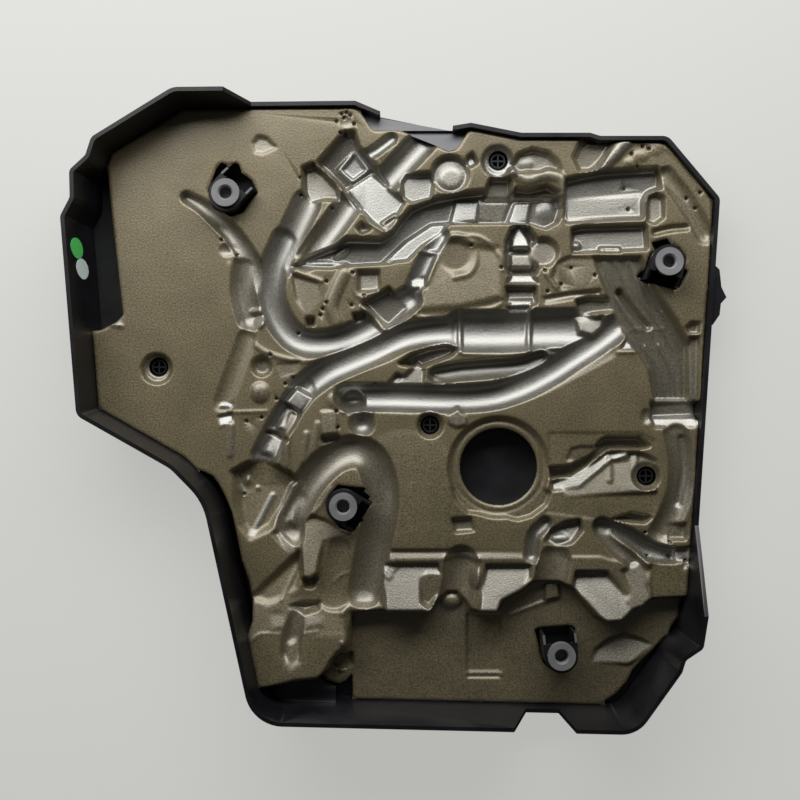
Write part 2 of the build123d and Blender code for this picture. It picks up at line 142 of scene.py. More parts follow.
@dataclass(frozen=True)
class MouldedFoam:
    """Moulded polyurethane foam with a satin skin: khaki on top and glossier in the recesses, which also get
    a neutral grey as painted sheen for their silvery reflection.
    """

    name: str
    khaki: str
    grey: str
    pit: str
    khaki_gleam: str
    grey_gleam: str
    grain: float
    mottle: float
    khaki_roughness: float
    grey_roughness: float
    cloudiness: Point = (0.84, 1.12)
    speckle: Point = (0.55, 1.45)
    rub: float = 0.05
    grain_strength: float = 0.8
    grain_height: float = 0.18
    specular: Point = (0.6, 1.0)
    index: float = 2.0

    def material(self) -> bpy.types.Material:
        """Makes the satin foam skin, with its stipple, its cloudy colour, the grey painted sheen in the
        recesses and the painted shade in the dark blow holes.

        Returns:
            The material, which reads the painted-sheen mask and the painted pit-shade mask that the mesh
            carries.
        """
        made = bpy.data.materials.new(self.name)
        made.use_nodes = True
        tree = made.node_tree
        place = add_node(tree, "ShaderNodeTexCoord").outputs["Object"]
        tone = add_node(tree, "ShaderNodeAttribute", attribute_name="tone").outputs["Fac"]
        pit = add_node(tree, "ShaderNodeAttribute", attribute_name="pit").outputs["Fac"]
        cloud = add_node(
            tree, "ShaderNodeTexNoise", {"Vector": place, "Scale": per_metre(self.mottle), "Detail": 4.0}
        ).outputs["Fac"]
        stipple = add_node(
            tree, "ShaderNodeTexNoise", {"Vector": place, "Scale": per_metre(self.grain), "Detail": 2.0}
        ).outputs["Fac"]
        clouded = add_node(
            tree,
            "ShaderNodeMapRange",
            {0: cloud, 1: NOISE_LOW, 2: NOISE_HIGH, 3: self.cloudiness[0], 4: self.cloudiness[1]},
        ).outputs[0]
        speckled = add_node(
            tree,
            "ShaderNodeMapRange",
            {0: stipple, 1: NOISE_LOW, 2: NOISE_HIGH, 3: self.speckle[0], 4: self.speckle[1]},
        ).outputs[0]
        shade = add_node(tree, "ShaderNodeMath", {0: clouded, 1: speckled}, operation="MULTIPLY").outputs[0]
        # Painted sheen: the tone mask draws the khaki towards a neutral grey in the recesses, for the
        # silvery reflection there.
        skin = add_node(
            tree, "ShaderNodeMix", {0: tone, 6: linear(self.khaki), 7: linear(self.grey)}, data_type="RGBA"
        ).outputs[2]
        mottled = add_node(
            tree, "ShaderNodeVectorMath", {0: skin, "Scale": shade}, operation="SCALE"
        ).outputs[0]
        # Painted shade: the pit mask darkens the blow holes to near black, standing in for the shade inside
        # holes too small for the mesh.
        pit_shaded = add_node(
            tree, "ShaderNodeMix", {0: pit, 6: mottled, 7: linear(self.pit)}, data_type="RGBA"
        ).outputs[2]
        gloss = add_node(
            tree, "ShaderNodeMapRange", {0: tone, 3: self.khaki_roughness, 4: self.grey_roughness}
        ).outputs[0]
        rubbed = add_node(
            tree, "ShaderNodeMapRange", {0: stipple, 1: NOISE_LOW, 2: NOISE_HIGH, 3: -self.rub, 4: self.rub}
        ).outputs[0]
        uneven = add_node(tree, "ShaderNodeMath", {0: gloss, 1: rubbed}, operation="ADD").outputs[0]
        shine = add_node(
            tree, "ShaderNodeMapRange", {0: tone, 3: self.specular[0], 4: self.specular[1]}
        ).outputs[0]
        gleam = add_node(
            tree,
            "ShaderNodeMix",
            {0: tone, 6: linear(self.khaki_gleam), 7: linear(self.grey_gleam)},
            data_type="RGBA",
        ).outputs[2]
        bump = add_node(
            tree,
            "ShaderNodeBump",
            {"Height": stipple, "Strength": self.grain_strength, "Distance": self.grain_height * MILLIMETRE},
        ).outputs[0]
        feed(tree, tree.nodes["Principled BSDF"], {
            "Base Color": pit_shaded,
            "Roughness": uneven,
            "Normal": bump,
            "Specular IOR Level": shine,
            "Specular Tint": gleam,
            "IOR": self.index,
        })
        return made


@dataclass(frozen=True)
class Moulding:
    """A moulded or printed surface of one colour with a fine grain."""

    name: str
    colour: str
    worn: str
    roughness: float
    grain: float
    grain_height: float
    cloud: float = 30.0
    specular: float = 0.5
    polish: Point = (-0.05, 0.07)
    grain_strength: float = 0.6

    def material(self) -> bpy.types.Material:
        """Makes the grained surface, with a faint cloud of its worn colour.

        Returns:
            The material.
        """
        made = bpy.data.materials.new(self.name)
        made.use_nodes = True
        tree = made.node_tree
        place = add_node(tree, "ShaderNodeTexCoord").outputs["Object"]
        cloud = add_node(
            tree, "ShaderNodeTexNoise", {"Vector": place, "Scale": per_metre(self.cloud), "Detail": 5.0}
        ).outputs["Fac"]
        grain = add_node(
            tree, "ShaderNodeTexNoise", {"Vector": place, "Scale": per_metre(self.grain), "Detail": 2.0}
        ).outputs["Fac"]
        wear = add_node(
            tree, "ShaderNodeMapRange", {0: cloud, 1: WORN_LOW, 2: WORN_HIGH, 3: 0.0, 4: 1.0}
        ).outputs[0]
        skin = add_node(
            tree, "ShaderNodeMix", {0: wear, 6: linear(self.colour), 7: linear(self.worn)}, data_type="RGBA"
        ).outputs[2]
        smooth, rough = (self.roughness + change for change in self.polish)
        gloss = add_node(
            tree, "ShaderNodeMapRange", {0: cloud, 1: NOISE_LOW, 2: NOISE_HIGH, 3: smooth, 4: rough}
        ).outputs[0]
        bump = add_node(
            tree,
            "ShaderNodeBump",
            {"Height": grain, "Strength": self.grain_strength, "Distance": self.grain_height * MILLIMETRE},
        ).outputs[0]
        feed(tree, tree.nodes["Principled BSDF"], {
            "Base Color": skin,
            "Roughness": gloss,
            "Normal": bump,
            "Specular IOR Level": self.specular,
        })
        return made


# Khaki foam skin (#645B42), satin with fine stipple; its grey (#56534B) is painted sheen in the recesses.
# The real stipple is under 1 mm; it is drawn coarser.
# Its near-black (#0B0A08) is painted shade in the blow holes.
FOAM = MouldedFoam(
    "polyurethane_foam_moulded", "#645B42", "#56534B", "#0B0A08", "#FBF0DA", "#FFFFF9", 1.3, 26.0, 0.43, 0.39
)
# Black glass-filled polyamide, injection moulded: deep black with a soft sheen and fine grain.
POLYAMIDE = Moulding("polyamide_black_moulded", "#0D0D12", "#17171C", 0.4, 1.0, 0.06, specular=0.6)
# The same polyamide with an eroded grain on the bare panel: a lighter grey, which is painted highlight on
# the slopes that face the lamp, with a broad soft sheen.
PANEL_HIGHLIGHT = Moulding("polyamide_grained_painted_highlight", "#3A3B40", "#505156", 0.5, 1.6, 0.1, specular=1.0)
# Ring rubber, moulded: mid grey and dull, lighter where dust sits.
RUBBER = Moulding("rubber_grey_moulded", "#6F6F70", "#8A8A8A", 0.6, 1.2, 0.08)
# Coated paper stickers, printed in one colour: even and slightly glossy.
GREEN_PAPER = Moulding("paper_green_printed", "#58CF66", "#63DB70", 0.5, 1.0, 0.02)
WHITE_PAPER = Moulding("paper_white_printed", "#DDEAE6", "#E8F2EF", 0.5, 1.0, 0.02)


def route_distance(
    x: np.ndarray, y: np.ndarray, route: Outline
) -> tuple[np.ndarray, np.ndarray, np.ndarray]:
    """How places lie to a route of straight pieces.

    Args:
        x, y: the places.
        route: the route's points.

    Returns:
        Each place's distance, the share of the route passed and how far above the route it lies.
    """
    best, passed, above = np.full(x.shape, np.inf), np.zeros(x.shape), np.zeros(x.shape)
    pieces = len(route) - 1
    for at, ((ax, ay), (bx, by)) in enumerate(zip(route, route[1:])):
        dx, dy = bx - ax, by - ay
        along = np.clip(((x - ax) * dx + (y - ay) * dy) / (dx * dx + dy * dy), 0, 1)
        away = np.hypot(x - ax - along * dx, y - ay - along * dy)
        passed = np.where(away < best, (at + along) / pieces, passed)
        above = np.where(away < best, y - ay - along * dy, above)
        best = np.minimum(best, away)
    return best, passed, above


def outline_distance(x: np.ndarray, y: np.ndarray, outline: Outline) -> np.ndarray:
    """How far places lie from a closed outline.

    Args:
        x, y: the places.
        outline: the outline's corners.

    Returns:
        Each place's distance from the outline, negative inside.
    """
    closed = outline + outline[:1]
    inside = np.zeros(x.shape, bool)
    for (ax, ay), (bx, by) in zip(closed, closed[1:]):
        crossed = (ay > y) != (by > y)
        inside ^= crossed & (x < ax + (y - ay) * (bx - ax) / ((by - ay) or 1.0))
    distance = route_distance(x, y, closed)[0]
    return np.where(inside, -distance, distance)


def encloses(outline: Outline, x: float, y: float) -> bool:
    """Tells whether one place lies inside a closed outline.

    Args:
        outline: the outline's corners.
        x, y: the place.

    Returns:
        True inside the outline.
    """
    crossed = [
        (ay > y) != (by > y) and x < ax + (y - ay) * (bx - ax) / (by - ay)
        for (ax, ay), (bx, by) in zip(outline, outline[1:] + outline[:1])
    ]
    return sum(crossed) % 2 == 1


def curve_through(points: Outline, steps: int = 8) -> Outline:
    """A smooth curve through points.

    Args:
        points: the points that the curve passes.
        steps: how many straight pieces each stretch between two points gets.

    Returns:
        The curve's own points.
    """
    known = np.array(points, float)
    padded = np.vstack([2 * known[0] - known[1], known, 2 * known[-1] - known[-2]])
    made = []
    for before, start, end, after in zip(padded, padded[1:], padded[2:], padded[3:]):
        for share in np.arange(steps) / steps:
            bend = 2 * before - 5 * start + 4 * end - after
            twist = 3 * (start - end) + after - before
            made.append(start + 0.5 * share * (end - before + share * (bend + share * twist)))
    made.append(known[-1])
    return tuple((float(px), float(py)) for px, py in made)


def smooth_step(low: float, high: float, value: np.ndarray) -> np.ndarray:
    """0 at low, 1 at high, with a soft start and end."""
    share = np.clip((value - low) / (high - low), 0, 1)
    return share * share * (3 - 2 * share)


def blurred(values: np.ndarray, sigma: float) -> np.ndarray:
    """Blurs a grid of values.

    Args:
        values: the grid.
        sigma: the blur's standard deviation, in cells.

    Returns:
        The blurred grid.
    """
    reach = int(np.ceil(3 * sigma))
    offsets = np.arange(-reach, reach + 1)
    weights = np.exp(-0.5 * (offsets / sigma) ** 2)
    weights /= weights.sum()
    for axis in (0, 1):
        size = values.shape[axis]
        wide = np.pad(values, [(reach, reach) if axis == at else (0, 0) for at in (0, 1)], mode="edge")
        parts = [w * np.take(wide, range(at, at + size), axis) for at, w in enumerate(weights)]
        values = np.sum(parts, axis=0)
    return values


class Relief:
    """Height, painted sheen and painted pit shade of the pad's upper face on a grid, in millimetres."""

    def __init__(self, low: Point, high: Point, cell: float, height: float) -> None:
        """Lays out an even grid at one height.

        Args:
            low, high: the grid's two corners.
            cell: the distance between neighbouring places.
            height: the height that every place starts from.
        """
        self.cell = cell
        self.xs = np.arange(low[0], high[0] + cell, cell)
        self.ys = np.arange(low[1], high[1] + cell, cell)
        self.x, self.y = np.meshgrid(self.xs, self.ys)
        self.height = np.full(self.x.shape, height)
        self.tone = np.zeros(self.x.shape)
        self.pit = np.zeros(self.x.shape)

    def near(self, points: Outline, margin: float) -> tuple[slice, slice]:
        """Finds the part of the grid that holds some points.

        Args:
            points: the points.
            margin: how far the part reaches past them.

        Returns:
            The rows and the columns of the part.
        """
        px, py = zip(*points)
        columns = np.searchsorted(self.xs, (min(px) - margin, max(px) + margin))
        rows = np.searchsorted(self.ys, (min(py) - margin, max(py) + margin))
        return slice(*rows), slice(*columns)

    def tint(self, part: tuple[slice, slice], share: np.ndarray, tone: float) -> None:
        """Draws the painted sheen of part of the grid towards a given tone value, by a share."""
        self.tone[part] += share * (tone - self.tone[part])


class Feature(Protocol):
    """One form in the pad's face."""

    name: str

    def press(self, relief: Relief) -> None:
        """Presses the form into the relief."""


@dataclass(frozen=True)
class Flat:
    """A flat or tilted area inside an outline, with sloping edges."""

    name: str
    outline: Outline
    height: float
    edge: float = 3.0
    tilt: Point = (0.0, 0.0)
    tone: float = 1.0

    def press(self, relief: Relief) -> None:
        """Blends the area's plane into the relief across its edge.

        Args:
            relief: the relief that is changed.
        """
        part = relief.near(self.outline, self.edge)
        x, y = relief.x[part], relief.y[part]
        set_plane(relief, part, outline_distance(x, y, self.outline), np.mean(self.outline, axis=0), self)


@dataclass(frozen=True)
class Disc:
    """A round flat or tilted area with sloping edges."""

    name: str
    centre: Point
    radius: float
    height: float
    edge: float = 3.0
    tilt: Point = (0.0, 0.0)
    tone: float = 1.0

    def press(self, relief: Relief) -> None:
        """Blends the disc's plane into the relief across its edge.

        Args:
            relief: the relief that is changed.
        """
        part = relief.near((self.centre,), self.radius + self.edge)
        away = np.hypot(relief.x[part] - self.centre[0], relief.y[part] - self.centre[1])
        set_plane(relief, part, away - self.radius, self.centre, self)


def set_plane(
    relief: Relief, part: tuple[slice, slice], distance: np.ndarray, middle: Point, form: Flat | Disc
) -> None:
    """Blends a tilted plane into part of the relief.

    Args:
        relief: the relief that is changed.
        part: the part of its grid that the form lies in.
        distance: distance from the form's edge, negative inside.
        middle: the place where the plane has the form's height.
        form: the flat or disc that gives height, tilt, edge and painted sheen.
    """
    plane = form.height + form.tilt[0] * (relief.x[part] - middle[0])
    plane = plane + form.tilt[1] * (relief.y[part] - middle[1])
    share = 1 - smooth_step(-form.edge / 2, form.edge / 2, distance)
    relief.height[part] += share * (plane - relief.height[part])
    relief.tint(part, share, form.tone)


@dataclass(frozen=True)
class Channel:
    """A round-bottomed channel along a smooth route, deepest nearer its upper side."""

    name: str
    route: Outline
    radius: float
    bottom: float
    tone: float = 1.0
    end: float | None = None
    face: float = PAD_FACE
    lean: float = 0.35

    def press(self, relief: Relief) -> None:
        """Lowers the relief to the channel's round section.

        Args:
            relief: the relief that is changed.
        """
        last = self.end or self.radius
        part = relief.near(self.route, max(self.radius, last) + 2)
        away, along, above = route_distance(relief.x[part], relief.y[part], curve_through(self.route))
        radius = self.radius + (last - self.radius) * along
        depth = self.face - self.bottom
        shift = self.lean * radius * above / np.maximum(away, 0.01)
        beyond = away - shift
        across = np.where(beyond > 0, beyond / (radius - shift), -beyond / (radius + shift))
        steep = np.minimum(depth / radius, 1)
        bend = (1 + steep ** 2) / (2 * steep)
        section = self.bottom + depth / steep * (bend - np.sqrt(np.maximum(bend ** 2 - across ** 2, 0)))
        share = 1 - smooth_step(*CHANNEL_FADE, away - radius)
        lower = np.minimum(relief.height[part], section)
        relief.height[part] += share * (lower - relief.height[part])
        relief.tint(part, share, self.tone)


@dataclass(frozen=True)
class Ridge:
    """A rounded bead along a smooth route, of a half width and a rise."""

    name: str
    route: Outline
    radius: float
    rise: float
    tone: float | None = None

    def press(self, relief: Relief) -> None:
        """Adds the bead on top of the relief.

        Args:
            relief: the relief that is changed.
        """
        part = relief.near(self.route, self.radius)
        away = route_distance(relief.x[part], relief.y[part], curve_through(self.route))[0]
        swell(relief, part, np.maximum(1 - (away / self.radius) ** 2, 0), self)


@dataclass(frozen=True)
class Dome:
    """An oval boss, or a dimple if its rise is negative."""

    name: str
    centre: Point
    radii: Point
    rise: float
    turn: float = 0.0
    tone: float | None = None

    def press(self, relief: Relief) -> None:
        """Adds the boss on top of the relief.

        Args:
            relief: the relief that is changed.
        """
        part = relief.near((self.centre,), max(self.radii))
        x, y = relief.x[part] - self.centre[0], relief.y[part] - self.centre[1]
        c, s = np.cos(np.radians(self.turn)), np.sin(np.radians(self.turn))
        away = np.hypot((x * c + y * s) / self.radii[0], (y * c - x * s) / self.radii[1])
        swell(relief, part, np.maximum(1 - away ** 2, 0), self)


def swell(relief: Relief, part: tuple[slice, slice], share: np.ndarray, form: Ridge | Dome) -> None:
    """Adds a rounded rise to part of the relief, and draws its painted sheen if the form has a tone.

    Args:
        relief: the relief that is changed.
        part: the part of its grid that the form lies in.
        share: 1 at the form's middle and 0 at its edge.
        form: the bead or boss that gives rise and painted sheen.
    """
    relief.height[part] += form.rise * np.sqrt(share) * share ** 0.25
    if form.tone is not None:
        relief.tint(part, np.clip(2 * share, 0, 1), form.tone)


# Each form's tone sets its painted sheen: 0 keeps the khaki, 1 paints the glossy neutral grey.
Group = tuple[Feature, ...]

# The pad's main levels: a middle swell, the low flat, the two steps above it and the lumps.
STEPS: Group = (
    Dome("mid swell", (5, -84), (56, 68), 3, tone=0.05),
    Flat("raised belt", ((-13, -114), (102, -114), (113, -117), (161, -117), (170, -120), (201, -122),
         (201, -184), (-13, -184)), 27.6, tone=0.1),
    Flat("step face", ((-13, -112), (45, -112), (102, -113), (102, -120), (45, -120), (-13, -120)), 26.8,
         edge=2, tilt=(0, -0.42), tone=0.35),
    Flat("left lump", ((-12, -123), (31, -123), (34, -130), (33, -152), (25, -162), (-11, -162)), 28.5,
         edge=2.4, tilt=(0, -0.4), tone=0.6),
    Flat("middle lump", ((70, -124), (106, -124), (105, -134), (97, -144), (82, -152), (79, -161),
         (63, -161), (66, -144)), 28.5, edge=2.4, tilt=(0, -0.44), tone=0.6),
    Flat("right lump", ((142, -129), (166, -129), (178, -144), (188, -157), (183, -163), (177, -168),
         (164, -169), (158, -164), (149, -152), (139, -142)), 28, edge=2.4, tilt=(0.05, -0.44), tone=0.6),
    Flat("low flat", ((-37, -163), (-13, -161), (26, -161), (31, -152), (39, -146), (47, -146), (54, -154),
         (58, -161), (79, -162), (83, -154), (98, -146), (108, -138), (129, -138), (140, -144), (148, -154),
         (158, -166), (166, -170), (178, -169), (186, -162), (199, -152), (241, -150), (257, -184),
         (201, -248), (-47, -248)), 12, tone=0.12),
)

# The upper left of the pad: the long groove beside the stud socket and its dimples.
UPPER_LEFT: Group = (
    Flat("D dimple", ((-113, 219), (-106, 218), (-98, 210), (-109, 205), (-115, 206), (-117, 214)), 24,
         tilt=(0.02, -0.1), tone=0.4),
    Channel("long groove", ((-170, 170), (-154, 160), (-130, 136), (-108, 99)), 4.8, 19, tone=0.6, end=8.8),
    Ridge("long groove lip", ((-174, 169), (-161, 158), (-142, 138), (-127, 118)), 1.4, 0.7),
    Dome("half moon", (-137, 128), (7.2, 5.6), -2.2, tone=0.5),
    Channel("side hollow", ((-122, 114), (-124, 94), (-119, 74)), 11.2, 18, tone=0.55),
    Ridge("side hollow lip", ((-136, 117), (-133, 96), (-127, 74), (-122, 61)), 1.8, 0.9),
    Dome("oval knob", (-114, 79), (6.4, 3.2), 3, tone=0.6),
    Dome("tongue knob", (-112, 70), (4.8, 5.6), 3, tone=0.7),
    Ridge("strip lip", ((-234, 70), (-222, 67)), 2.4, 1.2, tone=0.6),
)

# The connector hollow at the top, the duct that leaves it and the grooves round it.
CONNECTOR_CORNER: Group = (
    Flat("side pit", ((-77, 194), (-70, 197), (-62, 192), (-50, 179), (-47, 168), (-59, 169), (-71, 166),
         (-76, 176)), 15.5, edge=3.5, tilt=(0, -0.1), tone=0.5),
    Channel("first wire groove", ((-74, 165), (-86, 139), (-94, 117)), 12, 18, tone=0.8),
    Channel("second wire groove", ((-41, 164), (-57, 142), (-74, 122)), 11.2, 17.5, tone=0.85),
    Ridge("groove divider", ((-54, 164), (-74, 131), (-84, 116)), 2.4, 1.4, tone=0.2),
    Flat("connector hollow", ((-65, 198), (-43, 223), (-36, 223), (-32, 210), (-22, 200), (-8, 182),
         (-13, 175), (-30, 159), (-43, 176), (-58, 192)), 11.5, edge=3.5, tilt=(0.05, 0.16), tone=0.8),
    Flat("square frame", ((-51, 194), (-36, 210), (-22, 194), (-38, 182)), 15, edge=2, tilt=(0, -0.06)),
    Flat("square well", ((-46, 194), (-36, 206), (-27, 194), (-37, 186)), 12.5, edge=2, tilt=(0, -0.08)),
    Flat("lit facet", ((-22, 191), (-10, 180), (5, 167), (-1, 157), (-12, 144), (-22, 150), (-34, 166),
         (-43, 178)), 17.5, edge=2.2, tilt=(0.03, -0.15)),
    Flat("small frame", ((-15, 150), (-3, 158), (1, 153), (-11, 142)), 24, edge=1.4, tone=0.5),
    Flat("small frame well", ((-12, 150), (-4, 155), (-2, 153), (-10, 146)), 22, edge=1.2, tone=0.8),
    Ridge("facet ridge", ((-58, 191), (-42, 171), (-25, 154), (-13, 143)), 2.1, 1.4),
    Flat("triangle pocket", ((-34, 146), (-30, 150), (-22, 145), (-30, 141)), 20, edge=1.6, tone=0.6),
    Channel("wide groove", ((20, 216), (5, 200), (-10, 184)), 11.2, 16, tone=0.9),
    Ridge("wide groove lip", ((-2, 217), (-15, 202)), 1.4, 0.9),
    Channel("small groove", ((-6, 217), (-18, 208), (-27, 203)), 4.8, 21),
    Flat("upper pocket", ((2, 183), (6, 189), (25, 190), (28, 183), (26, 170), (10, 166), (3, 171)), 17,
         edge=2.4, tilt=(0, -0.12), tone=0.9),
    Dome("bright dimple", (-42, 230), (4.8, 5.6), -1.6, tone=0.4),
    Flat("duct", ((-85, 115), (-73, 123), (-51, 132), (-42, 138), (-15, 137), (-5, 143), (2, 153),
         (10, 162), (26, 169), (49, 174), (70, 176), (90, 174), (117, 178), (129, 170), (131, 162),
         (127, 151), (118, 146), (105, 150), (87, 150), (41, 150), (23, 145), (15, 135), (5, 126),
         (-7, 118), (-43, 116), (-55, 114)), 10, edge=2, tone=0.95),
    Flat("duct ramp", ((-14, 118), (5, 136), (26, 150), (41, 151), (34, 142), (18, 131), (7, 120)), 17,
         edge=2.5, tilt=(0.06, -0.14)),
    Dome("duct pin", (-47, 127), (8.8, 3.2), 3.2, turn=40),
    Ridge("duct shelf", ((-82, 117), (-63, 118), (-43, 117)), 3.2, 2.2),
    Flat("first duct panel", ((46, 169), (65, 169), (63, 152), (41, 150)), 13.5, edge=1.8, tilt=(0, -0.2)),
    Flat("second duct panel", ((66, 168), (90, 168), (84, 151), (63, 154)), 11, edge=1.5, tone=0.7),
    Flat("third duct panel", ((94, 168), (107, 168), (104, 151), (87, 150)), 14, edge=1.5, tilt=(0, -0.16)),
    Dome("duct end", (120, 160), (8.8, 9.6), 2.5),
)

# The round cap, the post hole, the arched hose and the strip of panels at the top.
TOP_MIDDLE: Group = (
    Disc("cap recess", (41, 189), 14.4, 18.5, tone=0.8),
    Disc("round cap", (42, 186), 10.4, 22, edge=9, tilt=(0, -0.1), tone=0.8),
    Flat("triangle pit", ((54, 202), (59, 206), (63, 198), (57, 194), (54, 197)), 20, edge=1.8,
         tilt=(0, -0.2)),
    Disc("upper post ring", (79, 199), 12, 21, edge=2.5),
    Flat("neck", ((74, 186), (90, 186), (90, 170), (69, 170), (71, 180)), 14, edge=2, tone=0.6),
    Flat("arch pocket", ((90, 197), (96, 205), (107, 209), (120, 206), (127, 199), (130, 192), (119, 194),
         (113, 191), (103, 192), (95, 190)), 18.5, tilt=(0, -0.06), tone=0.6),
    Dome("arch hump", (102, 198), (6.4, 5.6), 1.4, tone=0.7),
    Flat("wavy shade", ((94, 178), (105, 176), (119, 180), (128, 175), (126, 170), (90, 170)), 15, edge=2,
         tone=0.5),
    Ridge("wavy ridge", ((90, 190), (103, 184), (117, 188), (129, 185), (134, 174)), 4.8, 2.4, tone=0.4),
    Dome("white knob", (91, 190), (4, 4.8), 2, tone=0.7),
)

# The boxed hollows at the upper right and the beads round them.
UPPER_RIGHT: Group = (
    Flat("edge recess", ((147, 218), (161, 218), (171, 215), (159, 192), (145, 192), (140, 202)), 19.5,
         edge=5, tone=0.4),
    Ridge("lit ridge", ((158, 191), (170, 202), (182, 215)), 5.6, 3.2, tone=0.6),
    Dome("lump one", (193, 203), (7.2, 4.8), 1.4),
    Dome("lump two", (205, 208), (6.4, 4.8), 1.2),
    Dome("lump three", (185, 198), (5.6, 4), 1.2),
    Flat("upper box", ((134, 185), (161, 191), (193, 193), (207, 194), (210, 189), (210, 178), (200, 174),
         (196, 168), (196, 154), (134, 150), (132, 156)), 14, edge=2.6, tone=0.9),
    Flat("upper box shelf", ((136, 170), (196, 174), (195, 153), (135, 152)), 16, edge=2.5,
         tilt=(0.03, -0.13), tone=0.8),
    Ridge("upper box lip", ((135, 151), (165, 153), (195, 154)), 2.4, 1.8, tone=0.7),
    Flat("lower box", ((139, 145), (145, 147), (198, 148), (199, 129), (139, 126)), 16.5, edge=2.6,
         tilt=(0.03, -0.12), tone=0.8),
    Flat("clip frame", ((161, 131), (178, 131), (178, 126), (161, 126)), 22, edge=1.2, tone=0.6),
    Flat("clip", ((164, 130), (175, 130), (175, 127), (164, 127)), 21, edge=1.2),
    Dome("box knob", (143, 132), (4, 4), 3),
    Flat("side pocket", ((200, 171), (206, 174), (212, 170), (212, 154), (205, 149), (199, 151)), 20,
         tilt=(0, -0.12), tone=0.5),
    Ridge("side bead", ((196, 155), (197, 167), (201, 175), (208, 178)), 2, 1.8, tone=0.6),
    Channel("corner groove", ((214, 187), (230, 166), (245, 140)), 8, 21.5, tone=0.2),
    Ridge("corner lip", ((212, 179), (230, 162), (244, 138)), 1.6, 0.8),
    Ridge("edge bead top", ((153, 213), (209, 212), (247, 168), (248, 96)), 2.1, 0.9),
    Channel("crease", ((205, 142), (218, 145), (230, 146)), 2.8, 22.5, tone=0.1),
)

# The stacked plug hollows right of the middle and the plateau beside them.
STACK: Group = (
    Flat("stack plateau", ((36, 134), (79, 130), (83, 90), (50, 82), (15, 80), (25, 107)), 26, edge=7,
         tilt=(0.03, -0.13), tone=0.1),
    Flat("arch well", ((86, 113), (86, 135), (90, 145), (96, 149), (105, 145), (112, 134), (112, 113)),
         13.5, edge=2),
    Flat("arch face", ((90, 130), (91, 139), (94, 145), (97, 147), (100, 145), (104, 138), (106, 130)), 18,
         edge=1.3, tilt=(0.1, -0.4)),
    Flat("arch panel", ((90, 126), (108, 126), (108, 114), (90, 114)), 18, edge=1.4, tilt=(0, -0.2),
         tone=0.6),
    Flat("stack slot", ((87, 114), (111, 114), (110, 109), (88, 109)), 12, edge=1.5, tone=0.6),
    Flat("stack wedge", ((86, 101), (91, 110), (106, 110), (112, 101)), 20, edge=1.5, tilt=(0.1, -0.45)),
    Flat("stack well", ((86, 99), (110, 99), (110, 85), (87, 85)), 16.5, edge=2, tilt=(0, -0.1), tone=0.6),
    Flat("stack lip", ((88, 89), (108, 89), (106, 83), (90, 83)), 21, edge=1.6, tilt=(0.1, -0.45)),
    Flat("stack cone", ((86, 83), (106, 83), (99, 66), (94, 66)), 20, edge=2, tilt=(0, -0.14), tone=0.85),
    Disc("half round", (116, 126), 11.2, 20.5, edge=4, tilt=(0.1, -0.1), tone=0.5),
    Ridge("first facet rib", ((118, 109), (126, 98)), 2.4, 1.5, tone=0.2),
    Ridge("second facet rib", ((126, 112), (134, 101)), 2.4, 1.5, tone=0.2),
    Flat("khaki facet", ((126, 118), (137, 123), (161, 122), (162, 104), (149, 94), (130, 96), (122, 106)),
         24.5, tilt=(0.05, -0.06), tone=0.15),
    Disc("plateau disc", (45, 123), 12, 23.2, edge=4, tone=0.1),
    Ridge("plateau ring", ((28, 120), (33, 134), (45, 140), (58, 134), (62, 122), (57, 110), (45, 106)),
         2.7, 1.4, tone=0.1),
    Ridge("plateau edge", ((41, 139), (65, 138), (80, 124), (83, 112)), 1.9, 1, tone=0.2),
    Ridge("plateau lip", ((11, 77), (18, 74), (38, 73), (47, 74), (52, 79), (73, 81), (82, 85)), 2, 1.2,
         tone=0.2),
    Channel("narrow channel", ((33, 139), (21, 118), (9, 91)), 7.2, 18.5),
    Ridge("channel bar", ((17, 127), (30, 126)), 2, 2),
    Ridge("channel lip", ((40, 138), (30, 123), (23, 103), (17, 93)), 1.6, 1),
    Flat("channel facet", ((9, 106), (21, 107), (22, 98), (10, 97)), 20, edge=1.5, tilt=(0, -0.36)),
)

# The looped hose left of the middle and the small pockets in its bend.
HOSE_LOOP: Group = (
    Channel("loop", ((-91, 136), (-100, 114), (-102, 90), (-93, 68), (-78, 55), (-55, 54), (-31, 62),
         (-9, 76), (7, 88)), 11.2, 15.5, tone=0.95),
    Ridge("loop crest", ((-121, 59), (-110, 48), (-91, 41), (-74, 39), (-51, 45), (-25, 52), (1, 66),
         (14, 80)), 2.4, 1.2, tone=0.25),
    Flat("diamond", ((-30, 85), (-8, 98), (6, 82), (-8, 68)), 14.5, edge=2.6, tilt=(0.04, 0.02), tone=0.8),
    Ridge("divider bar", ((-28, 83), (-12, 65)), 3.2, 4, tone=0.5),
    Flat("square pocket", ((-33, 111), (-16, 111), (-15, 95), (-32, 95)), 20.5, tilt=(0, -0.12), tone=0.6),
    Ridge("pocket bead", ((-38, 111), (-36, 96), (-30, 90), (-16, 97)), 1.8, 1.1, tone=0.3),
    Flat("island facet", ((-86, 109), (-65, 102), (-62, 88), (-74, 75), (-82, 88)), 24.5, edge=2.5,
         tilt=(0.1, -0.08), tone=0.2),
    Ridge("island crease", ((-86, 112), (-62, 103)), 1.9, 1.2),
    Ridge("island ridge", ((-44, 109), (-50, 96), (-54, 83), (-50, 70)), 5.6, 2.8, tone=0.15),
    Flat("island slot", ((-74, 74), (-68, 74), (-68, 68), (-74, 67)), 17, edge=1.4, tone=0.6),
    Flat("island slot two", ((-37, 77), (-27, 78), (-28, 71), (-36, 70)), 16, edge=1.4, tone=0.6),
)

